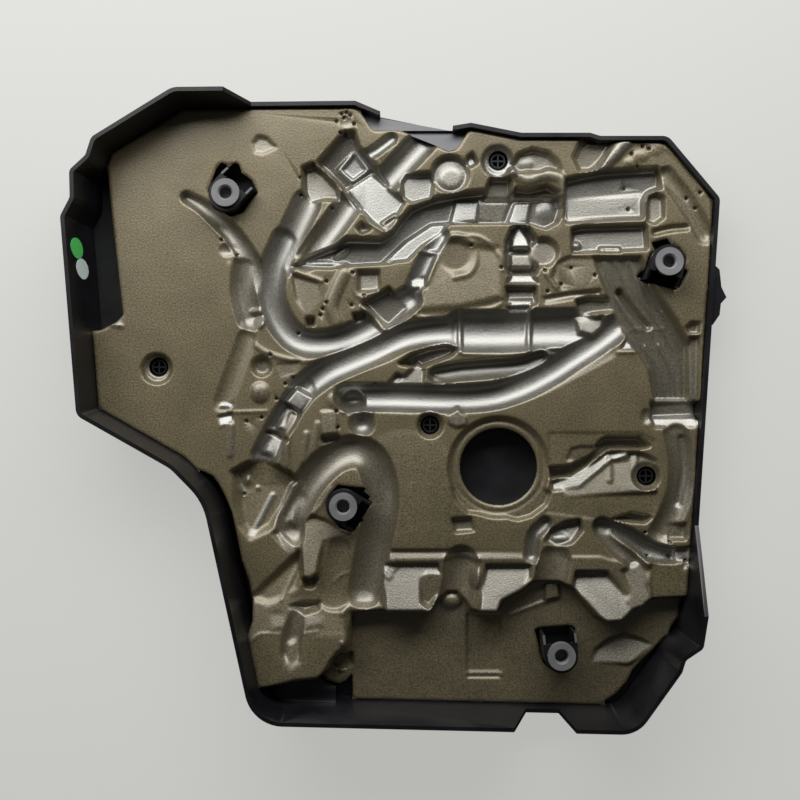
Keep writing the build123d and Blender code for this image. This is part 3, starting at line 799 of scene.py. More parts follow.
# The main pipe and the two hoses under it, from the right edge to the lower left.
MAIN_PIPE: Group = (
    Channel("main pipe", ((50, 63), (81, 63), (109, 64), (145, 65)), 16.8, 14.5),
    Channel("pipe tail", ((50, 63), (26, 62), (5, 58), (-17, 48), (-39, 39), (-59, 30), (-77, 17)), 11.6,
         16),
    Channel("pipe sleeves", ((-74, 19), (-86, 3), (-98, -18), (-108, -37)), 10.4, 15),
    Flat("upper sleeve face", ((-89, 5), (-81, 1), (-91, -18), (-99, -15)), 17.5, edge=6,
         tilt=(0.05, -0.32), tone=0.8),
    Flat("lower sleeve face", ((-103, -22), (-94, -26), (-101, -38), (-110, -34)), 17.5, edge=6,
         tilt=(0.05, -0.32), tone=0.8),
    Ridge("first collar", ((49, 77), (49, 48)), 2.4, 3, tone=0.9),
    Ridge("second collar", ((106, 80), (104, 48)), 2.4, 3, tone=0.9),
    Flat("sleeve patch", ((-82, 18), (-69, 10), (-79, -2), (-92, 6)), 23.5, edge=1.8, tilt=(0, -0.16),
         tone=0.9),
    Channel("collar crease", ((-106, -18), (-91, -24)), 1.9, 12, tone=0.6),
    Ridge("fourth collar", ((-105, -15), (-90, -21)), 1.9, 1.6, tone=0.9),
    Ridge("pipe lip", ((50, 45), (81, 44), (105, 46), (129, 48), (153, 58)), 1.8, 0.9, tone=0.3),
    Ridge("tail lip", ((-51, 21), (-23, 34), (-2, 45), (25, 50), (45, 51)), 1.8, 0.9, tone=0.2),
    Flat("pipe triangle", ((118, 48), (135, 49), (129, 41)), 21, edge=2, tilt=(0, -0.4)),
    Flat("black lens", ((0, 37), (11, 45), (25, 50), (38, 52), (47, 49), (42, 44), (30, 39), (17, 34)), 13,
         edge=2.4, tone=0.7),
    Flat("wedge", ((-2, 18), (3, 26), (15, 38), (21, 32), (19, 17)), 22, edge=2.4, tilt=(0.05, -0.22),
         tone=0.6),
    Flat("wedge side", ((-11, 18), (-2, 29), (4, 27), (-2, 18)), 21, edge=2.4, tilt=(0.05, -0.4), tone=0.8),
    Channel("long lens", ((31, 28), (49, 31), (73, 33), (97, 35), (114, 40)), 7.6, 16, tone=0.8),
    Ridge("lens lip", ((22, 29), (41, 22), (81, 24), (105, 30), (118, 40)), 1.6, 0.9, tone=0.4),
    Channel("lower hose shoulder", ((-20, 3), (25, 2), (63, 4), (105, 14), (139, 30), (169, 46)), 5.6, 24.4,
         tone=0.2),
    Channel("lower hose", ((-41, 10), (-7, 10), (41, 9), (73, 11), (97, 18), (119, 29), (138, 41),
         (158, 54), (174, 66)), 11.2, 15.5),
    Flat("saddle", ((142, 74), (164, 75), (164, 66), (156, 59), (145, 62)), 20, edge=4, tilt=(0.05, -0.28),
         tone=0.7),
    Flat("right recess", ((142, 88), (153, 91), (170, 90), (173, 79), (145, 76)), 16, tilt=(0, -0.04),
         tone=0.5),
    Flat("curved band", ((115, 90), (137, 94), (161, 96), (162, 92), (138, 89), (117, 85)), 23,
         tilt=(0, -0.3), tone=0.4),
    Flat("bright triangle", ((184, 61), (192, 48), (177, 48)), 23, edge=1.6, tilt=(0, -0.5)),
    Ridge("triangle base", ((175, 46), (194, 47)), 1.6, 1.2),
    Flat("pentagon", ((38, -5), (47, 2), (54, -6), (54, -12), (46, -14), (40, -11)), 28, edge=1.8,
         tilt=(0, -0.1), tone=0.4),
    Dome("upper bowl", (-37, 6), (10.4, 10.4), -9, tone=0.8),
    Dome("lower bowl", (-30, -11), (10.4, 10.4), -9, tone=0.9),
    Ridge("bowl pinch", ((-44, -1), (-22, -2)), 2.4, 2, tone=0.9),
    Dome("elbow knob", (-52, 7), (5.6, 7.2), 2, tone=0.3),
    Flat("raised panel", ((-63, -1), (-50, 0), (-49, -19), (-62, -20)), 28.5, edge=2, tilt=(0, -0.1),
         tone=0.25),
    Flat("panel slot", ((-62, -22), (-48, -21), (-49, -26), (-61, -27)), 20, edge=2.6, tone=0.4),
)

# The fan of harness wires and the pockets along the right edge.
RIGHT_EDGE: Group = (
    Flat("harness fan", ((156, 122), (166, 96), (174, 74), (191, 48), (201, 32), (206, 7), (234, 7),
         (233, 52), (222, 71), (206, 95), (194, 122)), 15, edge=4, tilt=(0, 0.09), tone=0.5),
    Ridge("first wire", ((166, 118), (178, 86), (194, 62), (205, 34), (211, 8)), 2.4, 1.2, tone=0.7),
    Ridge("second wire", ((175, 119), (189, 86), (204, 64), (215, 38), (220, 8)), 2.4, 1.2, tone=0.7),
    Ridge("third wire", ((185, 119), (198, 88), (215, 62), (226, 40), (228, 8)), 2.4, 1.2, tone=0.7),
    Ridge("fourth wire", ((199, 51), (209, 32), (215, 8)), 1.8, 1.2, tone=0.8),
    Ridge("fifth wire", ((210, 52), (220, 32), (224, 8)), 1.8, 1.2, tone=0.8),
    Channel("fan fold", ((178, 94), (190, 78), (201, 66)), 4, 11, tone=0.5),
    Ridge("wire tie", ((188, 65), (215, 65)), 1.4, 0.5, tone=0.6),
    Flat("edge strip", ((233, 59), (241, 59), (240, 7), (233, 7)), 20, edge=1.8, tone=0.5),
    Flat("edge nub", ((230, 66), (234, 70), (241, 70), (240, 61), (232, 61)), 21.5, edge=2.4, tone=0.3),
    Flat("cross slot", ((202, 6), (242, 7), (241, -7), (203, -8)), 13.5, edge=2, tone=0.7),
    Flat("cross slot wall", ((202, -6), (241, -5), (239, -14), (205, -14)), 20.5, edge=2,
         tilt=(0.15, -0.5)),
    Dome("cross bump", (198, -5), (4.8, 6.4), -2.5, tone=0.5),
    Flat("sunken field", ((119, -18), (193, -18), (205, -24), (209, -48), (205, -84), (161, -88),
         (117, -82), (122, -51)), 25, edge=2.2, tone=0.05),
    Channel("right hollow", ((222, -19), (226, -40), (225, -64), (218, -84), (210, -99)), 10.4, 19.5,
         tone=0.4),
    Channel("hollow lens", ((227, -24), (229, -48), (224, -75)), 4.8, 17.5, tone=0.7),
    Flat("S shelf", ((123, -57), (141, -52), (161, -39), (170, -34), (193, -34), (206, -40), (206, -65),
         (193, -66), (161, -68), (137, -70)), 22.5, edge=2.4, tilt=(0.08, -0.32), tone=0.35),
    Flat("S gap", ((121, -46), (137, -45), (150, -38), (161, -25), (166, -22), (193, -22), (201, -29),
         (193, -31), (169, -31), (161, -36), (151, -45), (138, -53), (122, -55)), 15, edge=2, tone=0.4),
    Flat("S slope", ((122, -58), (138, -54), (153, -45), (166, -34), (183, -32), (185, -37), (171, -41),
         (160, -50), (145, -62), (123, -65)), 21, edge=2, tilt=(0.2, -0.42), tone=0.8),
    Ridge("first bar", ((169, -40), (169, -56)), 2.8, 1.6),
    Ridge("second bar", ((174, -40), (183, -39)), 1.9, 1.4),
    Ridge("third bar", ((190, -37), (190, -48)), 2.8, 1.6),
    Flat("S notch", ((134, -40), (138, -31), (146, -29), (161, -30), (153, -37), (143, -42)), 23, edge=2,
         tone=0.1),
    Flat("crescent", ((122, -96), (133, -90), (145, -88), (147, -96), (139, -106), (126, -110),
         (117, -106)), 18.5, edge=2.6, tilt=(0.08, -0.34), tone=0.7),
    Dome("crescent pad", (130, -103), (7.2, 4), 2, tone=0.9),
    Channel("crescent side", ((117, -91), (108, -101), (106, -117)), 5.6, 19.5, tone=0.8),
    Flat("chip", ((109, -120), (119, -120), (118, -126), (110, -126)), 30, edge=1.6, tilt=(0, -0.5),
         tone=0.8),
    Flat("tube slot", ((170, -88), (186, -83), (202, -86), (197, -90)), 18, tone=0.6),
    Channel("slant tube", ((163, -94), (183, -102), (202, -113), (220, -118)), 8, 16, tone=0.9),
    Channel("slant branch", ((163, -98), (175, -111), (188, -122), (194, -144)), 6.4, 19, tone=0.5),
    Ridge("slant lip", ((170, -99), (186, -112), (199, -122), (218, -125)), 2.4, 1.4, tone=0.4),
    Ridge("edge dash", ((215, -103), (231, -103)), 1.8, 1.2, tone=0.5),
    Flat("edge pocket two", ((215, -92), (230, -91), (230, -104), (216, -104)), 20, edge=2, tilt=(0, -0.12),
         tone=0.3),
    Flat("edge patch", ((221, -111), (233, -110), (233, -125), (222, -130)), 21.5, edge=2,
         tilt=(0.15, -0.3), tone=0.8),
    Flat("brown flat", ((202, -123), (228, -122), (227, -149), (202, -151)), 25, edge=2.2, tone=0),
)

# The round filler recess, the oblong frame and the relief of the low flat.
FILLER: Group = (
    Disc("filler ring", (80, -46), 40, 21.2, edge=3.5, tone=0.1),
    Flat("filler ear", ((81, -78), (111, -58), (121, -67), (118, -76), (106, -85), (95, -88), (87, -86)),
         21.2, edge=2.4, tone=0.1),
    Flat("left filler ear", ((42, -62), (74, -78), (66, -83), (55, -82), (45, -72)), 21.2, edge=2.4,
         tone=0.1),
    Ridge("ring groove", ((116, -46), (114, -60), (106, -71), (94, -79), (80, -82), (66, -79), (54, -71),
         (46, -60), (44, -46), (46, -32), (54, -20), (66, -12), (80, -9), (94, -12), (106, -20), (114, -32),
         (116, -46)), 1.4, -1),
    Flat("small pocket", ((42, -87), (58, -86), (60, -97), (45, -98)), 22, edge=1.8, tilt=(0, -0.14),
         tone=0.4),
    Ridge("oblong frame", ((10, -59), (24, -59), (24, -98), (10, -98), (10, -60)), 1.1, 0.5, tone=0.2),
    Disc("middle post ring", (25, -12), 9.6, 18.5, tone=0.5),
    Disc("left post ring", (-194, 33), 11.6, 20, edge=2.5, tone=0.4),
    Disc("right post ring", (198, -53), 10.4, 20, edge=2.5, tone=0.5),
    Channel("lump gap", ((50, -122), (48, -138), (43, -157)), 13.6, 18, tone=0.3),
    Ridge("gap bridge", ((38, -118), (50, -116), (63, -119)), 2.7, 2, tone=0.5),
    Dome("gap hump", (42, -154), (9.6, 7.2), 5, tone=0.3),
    Dome("gap oval", (61, -134), (4.8, 9.6), 4, tone=0.6),
    Flat("lump pocket", ((17, -135), (23, -130), (34, -131), (33, -146), (24, -157), (18, -153)), 25,
         edge=2.4, tilt=(0, 0.05), tone=0.3),
    Channel("second gap", ((125, -120), (122, -133), (119, -144)), 12.8, 20, tone=0.3),
    Flat("lump block", ((178, -129), (193, -122), (201, -128), (199, -140), (202, -151), (194, -158),
         (186, -159), (181, -152), (185, -144)), 27.5, edge=4, tilt=(0.05, -0.3), tone=0.4),
    Ridge("lump line", ((143, -129), (166, -129)), 1.9, 1, tone=0.6),
    Flat("low panel", ((55, -165), (82, -165), (82, -217), (55, -217)), 9.6, edge=2, tone=0.1),
    Ridge("low panel lip", ((56, -214), (82, -214)), 2.2, 1.8, tone=0.4),
    Ridge("low ridge", ((90, -166), (122, -154)), 1.8, 1.4, tone=0.2),
    Flat("low boss", ((118, -140), (129, -139), (130, -152), (118, -154)), 16, edge=2, tone=0.2),
    Flat("half moon shelf", ((155, -205), (160, -194), (171, -186), (183, -182), (196, -186), (205, -190),
         (193, -202), (186, -206)), 10, edge=2.2, tilt=(0.1, -0.4), tone=0.5),
)

# The hose arch and the broken relief between it and the corner block.
LOWER_LEFT: Group = (
    Flat("block ramp", ((-122, -150), (-110, -147), (-95, -149), (-79, -150), (-55, -150), (-42, -157),
         (-41, -184), (-127, -186)), 28.1, edge=6, tilt=(0, -0.24), tone=0.05),
    Flat("block top", ((-130, -184), (-110, -181), (-79, -179), (-42, -179), (-41, -188), (-49, -194),
         (-62, -214), (-83, -216), (-111, -224), (-130, -232)), 34.5, edge=6, tilt=(0, -0.06), tone=0.05),
    Channel("left trough", ((-122, 57), (-130, 35), (-141, 5)), 8, 23, tone=0.15),
    Flat("trough end", ((-143, 6), (-133, 6), (-133, 2), (-144, 2)), 24.5, edge=1.6, tilt=(0, -0.5)),
    Flat("trough end two", ((-145, -5), (-133, -2), (-133, -10), (-143, -14)), 24.5, edge=1.6,
         tilt=(0, -0.5)),
    Ridge("left bead", ((-134, -12), (-135, -36)), 2.8, 1.6, tone=0.5),
    Disc("left pocket", (-110, 35), 7.2, 20, edge=4, tone=0.4),
    Dome("left knob", (-111, 14), (8, 8.8), 3.5, tone=0.3),
    Ridge("left line", ((-135, -2), (-106, -1)), 1.6, 1),
    Flat("tail facet", ((-98, 37), (-79, 39), (-78, 30), (-95, 26)), 25, edge=2, tilt=(0, -0.08), tone=0.3),
    Flat("cavity slope", ((-130, -53), (-110, -46), (-87, -54), (-86, -64), (-92, -78), (-103, -94),
         (-119, -102), (-126, -92), (-130, -76)), 16.8, edge=9, tilt=(0, -0.15), tone=0),
    Flat("side cavity", ((-134, -50), (-122, -43), (-110, -40), (-98, -45), (-87, -51), (-81, -58),
         (-89, -62), (-100, -60), (-111, -62), (-122, -65), (-129, -62)), 15, edge=5, tone=0.05),
    Dome("first tooth", (-122, -57), (1.8, 4), 2.4, tone=0.9),
    Ridge("second tooth", ((-129, -62), (-125, -68)), 1.8, 1.4, tone=0.9),
    Dome("third tooth", (-114, -63), (2.4, 2.4), 1.6, tone=0.7),
    Ridge("first rib", ((-86, -5), (-90, -24), (-90, -48)), 3.6, 2.2, tone=0.25),
    Ridge("second rib", ((-74, -19), (-76, -34), (-76, -48)), 2.8, 1.6, tone=0.25),
    Ridge("third rib", ((-65, -11), (-68, -29), (-69, -45)), 2.8, 1.4, tone=0.25),
    Ridge("bright strip", ((-102, -69), (-110, -85), (-118, -100)), 2.6, 1.2, tone=0.9),
    Channel("hose arch", ((-86, -97), (-86, -85), (-78, -68), (-66, -51), (-51, -38), (-36, -33),
         (-24, -38), (-17, -51), (-14, -68), (-16, -88), (-22, -118), (-28, -146)), 12.8, 16.5, tone=0.5,
         end=13.6),
    Flat("arch heel", ((-90, -90), (-86, -77), (-80, -67), (-76, -71), (-81, -82), (-84, -93)), 18, edge=7,
         tilt=(0.05, -0.28), tone=0.8),
    Ridge("arch lip", ((-91, -93), (-93, -85), (-89, -74), (-80, -59)), 1.8, 1, tone=0.3),
    Ridge("arch inner lip", ((-54, -63), (-63, -77), (-74, -88)), 1.8, 1, tone=0.3),
    Flat("lit band", ((-101, -99), (-97, -96), (-82, -111), (-83, -117), (-90, -114)), 24, tilt=(0, -0.28),
         tone=0.5),
    Flat("dark valley", ((-80, -114), (-78, -130), (-82, -142), (-92, -150), (-105, -154), (-118, -150)),
         22.3, edge=7, tilt=(0.08, -0.22), tone=0.05),
    Ridge("valley lip", ((-81, -125), (-94, -152)), 1.9, 0.9, tone=0.2),
    Flat("tongue", ((-76, -90), (-70, -84), (-59, -88), (-49, -94), (-41, -100), (-42, -107), (-50, -109),
         (-54, -103), (-60, -105), (-63, -117), (-65, -130), (-70, -134), (-77, -133), (-78, -112)), 28,
         edge=2.4, tilt=(0, -0.28), tone=0.2),
    Flat("oval slot", ((-77, -136), (-65, -135), (-69, -142), (-74, -142)), 19.5, edge=3.4, tone=0.2),
    Channel("inner valley", ((-48, -110), (-51, -130), (-52, -144)), 8.8, 23.5, tone=0.1, end=16, lean=0.0),
    Ridge("valley thread", ((-52, -138), (-47, -133), (-40, -130)), 1.4, 0.8, tone=0.2),
    Flat("left facet", ((-103, -162), (-92, -162), (-90, -173), (-101, -175)), 30.5, edge=6, tilt=(0, -0.4),
         tone=0.3),
    Flat("right facet", ((-74, -162), (-60, -163), (-61, -171), (-74, -174)), 30.5, edge=6, tilt=(0, -0.4),
         tone=0.3),
    Ridge("left crease", ((-119, -185), (-110, -178), (-95, -178)), 1.6, 0.8, tone=0.3),
    Ridge("right crease", ((-78, -178), (-65, -176)), 1.6, 0.8, tone=0.3),
    Flat("long slot", ((-86, -157), (-76, -154), (-63, -154), (-65, -159), (-76, -162)), 21, edge=5,
         tone=0.1),
    Channel("block channel", ((-81, -161), (-85, -181), (-86, -193)), 8, 26.5, tone=0.4, face=34.5),
    Flat("block channel end", ((-90, -186), (-80, -182), (-79, -200), (-86, -205), (-90, -201)), 31.2,
         edge=7, tilt=(0, -0.2), tone=0.3),
    Ridge("leg lip", ((-45, -162), (-38, -158), (-16, -158)), 3.2, 1.6, tone=0.3),
    Ridge("coil turn 1", ((-13, -130), (-8, -135)), 1.3, 1.1, tone=0.7),
    Ridge("coil turn 2", ((-11, -128), (-6, -133)), 1.3, 1.1, tone=0.7),
    Ridge("coil turn 3", ((-9, -126), (-5, -130)), 1.3, 1.1, tone=0.7),
    Ridge("coil turn 4", ((-7, -123), (-3, -128)), 1.3, 1.1, tone=0.7),
    Ridge("coil turn 5", ((-5, -121), (-1, -126)), 1.3, 1.1, tone=0.7),
    Dome("white spot", (-45, -185), (2.4, 2.4), 1.5, tone=0.9),
    Flat("lens hollow", ((-54, -206), (-53, -200), (-47, -196), (-38, -197), (-38, -206), (-43, -210),
         (-50, -210)), 6.5, edge=4, tone=0),
    Flat("lower lens", ((-63, -213), (-54, -207), (-47, -211), (-38, -206), (-38, -224), (-63, -224)), 12.5,
         edge=3.5, tilt=(0, -0.1), tone=0),
)

# In the order in which the forms are pressed, later ones into earlier ones.
GROUPS = (
    STEPS, UPPER_LEFT, CONNECTOR_CORNER, TOP_MIDDLE, UPPER_RIGHT, STACK, HOSE_LOOP, MAIN_PIPE, RIGHT_EDGE,
    FILLER, LOWER_LEFT,
)

# Places of the small blow holes.
PITS: Outline = (
    (-142, 136), (-130, 124), (-46, 237), (-42, 238), (-39, 236), (-44, 234), (-50, 231), (-36, 229),
    (-47, 222), (-43, 222), (-69, 197), (-79, 186), (-79, 173), (-54, 162), (195, 211), (200, 209),
    (186, 205), (191, 195), (182, 179), (185, 162), (241, 174), (231, 170), (238, 162), (117, 112),
    (119, 95), (130, 101), (138, 114), (157, 108), (82, 114), (58, 132), (-58, 103), (-58, 86), (-61, 81),
    (-63, 76), (-37, 110), (-38, 84), (-28, 92), (-81, 62), (-103, 44), (-91, 21), (-85, 26), (-98, 9),
    (-19, 21), (-50, -1), (-49, -14), (-122, -9), (-110, -6), (197, -98), (217, -106), (200, -118),
    (218, -118), (230, -121), (-125, -68),
)

# Plan areas where the foam stops short of the shell's wall.
PAD_TRIMS: tuple[Outline, ...] = (
    ((-159.5, -48.1), (-149.1, -52.9), (-144.3, -59.3), (-139.5, -68.2), (-133.9, -81.8), (-129.9, -100.2),
     (-125.9, -120.3), (-120.2, -136.3), (-117.0, -152.3), (-117.0, -168.4), (-121.0, -181.2),
     (-127.5, -184.4), (-155.5, -152.3)),
    ((-67.2, -215.4), (-64.8, -215.4), (-61.5, -217.9), (-57.5, -219.9), (-52.6, -221.1), (-47.8, -221.1),
     (-43.7, -219.5), (-40.5, -216.7), (-38.9, -213.0), (-37.7, -215.4), (-37.7, -236.5), (-67.2, -236.5)),
    ((167.1, -236.2), (176.8, -229.7), (184.1, -221.6), (189.8, -211.0), (197.9, -202.1), (206.0, -194.8),
     (212.5, -187.5), (218.2, -182.6), (220.6, -176.1), (227.9, -166.4), (232.8, -159.1), (236.0, -150.2),
     (237.7, -134.0), (240.9, -109.6), (260.4, -109.6), (260.4, -202.9), (203.6, -255.6), (167.1, -255.6)),
)


@dataclass
class FoamPad:
    """The moulded foam pad: the plan of the CAD solid with the full relief of its face."""

    groups: tuple[Group, ...] = GROUPS
    pits: Outline = PITS
    trims: tuple[Outline, ...] = PAD_TRIMS
    pit_radius: float = 1.4
    pit_depth: float = 2.5
    finish: Finish = FOAM
    piece: bpy.types.Object | None = field(default=None, init=False)
    solid: BVHTree | None = field(default=None, init=False)

    def build(self) -> list[bpy.types.Object]:
        """Makes the pad's mesh and puts it in the CAD solid's place.

        Returns:
            The pieces made.
        """
        relief = self.pressed()
        mesh = self.skin(relief, self.plan(relief))
        self.piece = bpy.data.objects.new("foam_relief", mesh)
        bpy.context.scene.collection.objects.link(self.piece)
        self.thin_out()
        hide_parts("foam_pad")
        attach(self.piece, "root")
        return [self.piece]

    def dress(self) -> None:
        """Gives the pad its foam skin."""
        paint(self.piece, self.finish)

    def pressed(self) -> Relief:
        """Presses every feature and blow hole into a new relief, and softens it a little.

        Returns:
            The finished relief.
        """
        low, high = (np.array(corner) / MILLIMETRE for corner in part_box("foam_pad"))
        relief = Relief(low[:2] - 4, high[:2] + 4, PAD_GRID, PAD_FACE)
        for group in self.groups:
            for feature in group:
                feature.press(relief)
        relief.height = blurred(relief.height, CORNER_SOFTNESS / PAD_GRID)
        relief.tone = np.clip(blurred(relief.tone, CORNER_SOFTNESS / PAD_GRID), 0, 1)
        # Each blow hole is pressed in and marked for painted shade, which darkens it to near black in the
        # foam material.
        for place in self.pits:
            part = relief.near((place,), 2 * self.pit_radius)
            away = np.hypot(relief.x[part] - place[0], relief.y[part] - place[1])
            share = 1 - smooth_step(0.4 * self.pit_radius, 1.4 * self.pit_radius, away)
            relief.height[part] -= self.pit_depth * share
            relief.pit[part] = np.maximum(relief.pit[part], share)
        return relief

    def plan(self, relief: Relief) -> np.ndarray:
        """Finds where the pad is.

        Args:
            relief: the relief that gives the grid.

        Returns:
            1 where the CAD pad lies under a grid place and the foam is not trimmed, 0 elsewhere.
        """
        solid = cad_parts["foam_pad"].data
        corners = [vertex.co.copy() for vertex in solid.vertices]
        self.solid = BVHTree.FromPolygons(corners, [tuple(face.vertices) for face in solid.polygons])
        hits = [self.covers(x, y) for x, y in zip(relief.x.flat, relief.y.flat)]
        return np.array(hits, float).reshape(relief.x.shape)

    def covers(self, x: float, y: float) -> bool:
        """Tells whether the CAD pad lies under a place where the foam is not trimmed.

        Args:
            x, y: the place.

        Returns:
            True where the pad is.
        """
        start = Vector((x * MILLIMETRE, y * MILLIMETRE, 1.0))
        if self.solid.ray_cast(start, Vector((0, 0, -1)))[0] is None:
            return False
        return not any(encloses(trim, x, y) for trim in self.trims)

    def edge_along(self, outside: np.ndarray, way: np.ndarray, reach: float) -> np.ndarray:
        """The place where a line into the pad meets its edge.

        Args:
            outside: a place just outside the pad.
            way: the way in, as a vector of length 1.
            reach: the length of the line.

        Returns:
            The first place on the line that the pad covers, found by halving.
        """
        near, far = 0.0, reach
        for _ in range(7):
            middle = (near + far) / 2
            if self.covers(*(outside + middle * way)):
                far = middle
            else:
                near = middle
        return outside + far * way

    def skin(self, relief: Relief, inside: np.ndarray) -> bpy.types.Mesh:
        """The closed mesh of the pad: the face, drafted walls and a flat underside.

        Args:
            relief: the pressed relief.
            inside: 1 where the pad is and 0 elsewhere, on the relief's grid.

        Returns:
            The mesh, with the painted sheen and the painted pit shade of each vertex.
        """
        slope_y, slope_x = np.gradient(blurred(inside, WAY_BLUR), relief.cell)
        steep = np.maximum(np.hypot(slope_x, slope_y), 0.02)
        inward = np.dstack([slope_x / steep, slope_y / steep])
        full = inside > 0.5
        used = np.zeros(full.shape, bool)
        cells = full[:-1, :-1] | full[1:, :-1] | full[:-1, 1:] | full[1:, 1:]
        for rows in (slice(None, -1), slice(1, None)):
            for columns in (slice(None, -1), slice(1, None)):
                used[rows, columns] |= cells
        x, y = relief.x.copy(), relief.y.copy()
        for at in zip(*np.nonzero(used & ~full)):
            x[at], y[at] = self.edge_along(np.array((x[at], y[at])), inward[at], WAY_BLUR * relief.cell)
        edge = np.clip((blurred(inside, EDGE_BLUR) - 0.5) / EDGE_SPAN, 0, 1)
        z = relief.height - PAD_EDGE_DROP * (1 - edge) ** 2
        number = np.full(full.shape, -1)
        number[used] = np.arange(used.sum())
        top = np.column_stack([x[used], y[used], z[used]])
        quads = np.column_stack([
            number[:-1, :-1][cells], number[:-1, 1:][cells], number[1:, 1:][cells], number[1:, :-1][cells]
        ])
        sides = np.vstack([quads[:, [a, (a + 1) % 4]] for a in range(4)])
        pairs = {tuple(pair) for pair in sides.tolist()}
        border = [pair for pair in sides.tolist() if (pair[1], pair[0]) not in pairs]
        rim = sorted({at for pair in border for at in pair})
        bottom = np.column_stack([top[:, :2], np.full(len(top), PAD_BOTTOM)])
        bottom[rim, :2] += PAD_WALL_DRAFT * inward[used][rim]
        low = np.arange(len(top)) + len(top)
        walls = [(b, a, int(low[a]), int(low[b])) for a, b in border]
        mesh = bpy.data.meshes.new("foam_relief")
        corners = np.vstack([top, bottom]) * MILLIMETRE
        mesh.from_pydata(corners.tolist(), [], quads.tolist() + walls + low[quads[:, ::-1]].tolist())
        # The painted-sheen mask and the painted pit-shade mask are stored on the vertices for the foam
        # material.
        for name, values in (("tone", relief.tone), ("pit", relief.pit)):
            layer = mesh.attributes.new(name, "FLOAT", "POINT")
            layer.data.foreach_set("value", np.tile(values[used], 2))
        return mesh

    def thin_out(self) -> None:
        """Takes out the triangles that flat places do not need."""
        wanted = PAD_TRIANGLES / (2 * len(self.piece.data.polygons))
        self.piece.modifiers.new("thin", "DECIMATE").ratio = min(1.0, wanted)
        drawn = self.piece.evaluated_get(bpy.context.evaluated_depsgraph_get())
        thinned = bpy.data.meshes.new_from_object(drawn)
        self.piece.modifiers.clear()
        self.piece.data = thinned
        thinned.shade_smooth()
        thinned.set_sharp_from_angle(angle=np.radians(PAD_SHARP_ANGLE))


@dataclass
class CoverShell:
    """The black moulded shell with its holders, posts, scoop and bare panel."""

    node: str = "cover_shell"
    finish: Finish = POLYAMIDE
    panel_highlight_finish: Finish = PANEL_HIGHLIGHT
    panel_box: tuple[Point, Point] = ((-34.0, 204.0), (63.0, 262.0))
    lamp_facing_slope: Point = (0.2, 0.5)
    edge: float = 0.7
    edge_angle: float = 35.0
    weld: float = 0.01
    piece: bpy.types.Object | None = field(default=None, init=False)

    def build(self) -> list[bpy.types.Object]:
        """Rounds the moulding's edges a little, so that they catch the light.

        Returns:
            The shell, in a list.
        """
        self.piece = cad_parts[self.node]
        weld = self.piece.modifiers.new("weld", "WELD")
        weld.merge_threshold = self.weld * MILLIMETRE
        bevel = self.piece.modifiers.new("edges", "BEVEL")
        bevel.width = self.edge * MILLIMETRE
        bevel.segments = 2
        bevel.limit_method = "ANGLE"
        bevel.angle_limit = np.radians(self.edge_angle)
        bevel.harden_normals = True
        return [self.piece]

    def dress(self) -> None:
        """Gives the shell its black polyamide, and the bare panel's lamp-facing slopes their coarser grain
        and a lighter grey as painted highlight.
        """
        paint(self.piece, self.finish)
        self.piece.data.materials.append(self.panel_highlight_finish.material())
        low, high = (np.array(corner) * MILLIMETRE for corner in self.panel_box)
        for face in self.piece.data.polygons:
            place = np.array(face.center[:2])
            # Only faces tilted towards the lamp get the lighter grey, as painted highlight.
            sloped = self.lamp_facing_slope[0] < face.normal.y < self.lamp_facing_slope[1]
            if sloped and (low < place).all() and (place < high).all():
                face.material_index = 1


@dataclass
class Grommets:
    """The four rubber stud sockets."""

    prefix: str = "grommet_"
    finish: Finish = RUBBER
    pieces: list[bpy.types.Object] = field(default_factory=list, init=False)

    def build(self) -> list[bpy.types.Object]:
        """Takes the sockets from the frame."""
        self.pieces = [node for name, node in sorted(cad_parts.items()) if name.startswith(self.prefix)]
        return self.pieces

    def dress(self) -> None:
        """Gives the sockets their rubber."""
        for piece in self.pieces:
            paint(piece, self.finish)


@dataclass
class Stickers:
    """The two bare stickers on the left wall."""

    finishes: dict[str, Finish] = field(
        default_factory=lambda: {"green_sticker": GREEN_PAPER, "white_sticker": WHITE_PAPER}
    )

    def build(self) -> list[bpy.types.Object]:
        """Takes the stickers from the frame."""
        return [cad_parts[name] for name in self.finishes]

    def dress(self) -> None:
        """Gives each sticker its printed paper."""
        for name, finish in self.finishes.items():
            paint(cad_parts[name], finish)


def paint(piece: bpy.types.Object, finish: Finish) -> None:
    """Puts one finish on a whole piece."""
    piece.data.materials.clear()
    piece.data.materials.append(finish.material())


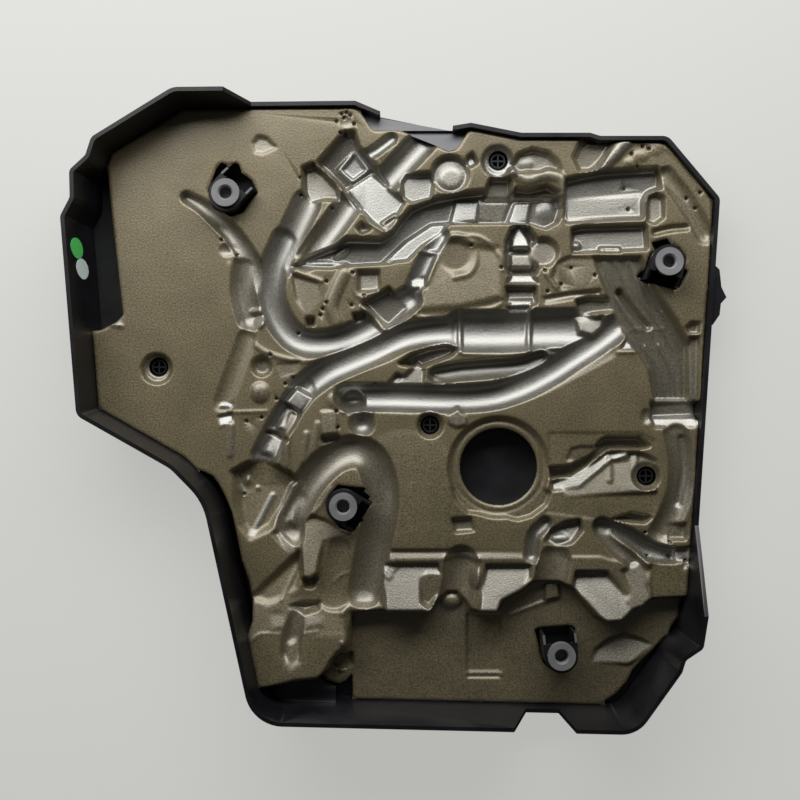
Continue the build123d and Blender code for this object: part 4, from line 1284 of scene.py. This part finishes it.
@dataclass
class Studio:
    """The plain pale floor, the soft light and the camera above the part."""

    floor_half: float = 4.0
    floor_height: float = -0.0004
    camera_place: tuple[float, float, float] = (0.0008, 0.008, 1.026)
    lens: float = 56.25
    sensor: float = 36.0
    lamp_place: tuple[float, float, float] = (-0.12, 0.70, 0.58)
    lamp_aim: tuple[float, float, float] = (0.0, 0.0, 0.02)
    lamp_size: Point = (1.6, 0.45)
    lamp_power: float = 14.0
    sky_strength: float = 0.055
    backdrop_strength: float = 0.8

    def build(self) -> None:
        """Sets floor, lamp, sky and camera."""
        self.floor()
        self.lamp()
        self.sky()
        self.camera()

    def floor(self) -> None:
        """A wide pale sheet just under the part, which keeps its shadow."""
        turns = ((-1, -1), (1, -1), (1, 1), (-1, 1))
        corners = [(x * self.floor_half, y * self.floor_half, self.floor_height) for x, y in turns]
        mesh = bpy.data.meshes.new("floor")
        mesh.from_pydata(corners, [], [(0, 1, 2, 3)])
        sheet = bpy.data.objects.new("floor", mesh)
        bpy.context.scene.collection.objects.link(sheet)
        made = bpy.data.materials.new("paper_backdrop")
        made.use_nodes = True
        tree = made.node_tree
        feed(tree, tree.nodes["Principled BSDF"], {
            "Base Color": linear(Stage.FLOOR.value),
            "Roughness": 0.9,
            "Specular IOR Level": 0.1,
            "Emission Color": linear(Stage.FLOOR_GLOW.value),
            "Emission Strength": add_node(tree, "ShaderNodeLightPath").outputs["Is Camera Ray"],
        })
        mesh.materials.append(made)

    def lamp(self) -> None:
        """One wide soft lamp above the upper edge."""
        light = bpy.data.lights.new("soft_box", "AREA")
        light.shape = "RECTANGLE"
        light.size, light.size_y = self.lamp_size
        light.energy = self.lamp_power
        lamp = bpy.data.objects.new("soft_box", light)
        lamp.location = self.lamp_place
        aim = Vector(self.lamp_aim) - Vector(self.lamp_place)
        lamp.rotation_euler = aim.to_track_quat("-Z", "Y").to_euler()
        bpy.context.scene.collection.objects.link(lamp)

    def sky(self) -> None:
        """An even sky that lights the part softly and looks pale where the camera sees it."""
        world = bpy.data.worlds.new("studio")
        bpy.context.scene.world = world
        world.use_nodes = True
        tree = world.node_tree
        seen = add_node(tree, "ShaderNodeLightPath").outputs["Is Camera Ray"]
        level = add_node(
            tree, "ShaderNodeMapRange", {0: seen, 3: self.sky_strength, 4: self.backdrop_strength}
        ).outputs[0]
        feed(tree, tree.nodes["Background"], {"Color": linear(Stage.SKY.value), "Strength": level})

    def camera(self) -> None:
        """A camera straight above, as the photograph was taken."""
        lens = bpy.data.cameras.new("camera")
        lens.lens = self.lens
        lens.sensor_width = self.sensor
        lens.dof.use_dof = False
        lens.clip_start, lens.clip_end = 0.01, 50.0
        camera = bpy.data.objects.new("camera", lens)
        camera.location = self.camera_place
        bpy.context.scene.collection.objects.link(camera)
        bpy.context.scene.camera = camera
        bpy.context.scene.view_settings.view_transform = "Standard"


def main() -> None:
    """Builds and dresses each sub-assembly, then the studio, and logs each piece's face count."""
    logging.basicConfig(level=logging.INFO, format="%(message)s")
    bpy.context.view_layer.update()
    for part in (CoverShell(), FoamPad(), Grommets(), Stickers()):
        pieces = part.build()
        part.dress()
        for piece in pieces:
            LOG.info("%s: %s, %d faces", type(part).__name__, piece.name, len(piece.data.polygons))
    Studio().build()


if __name__ == "__main__":
    main()
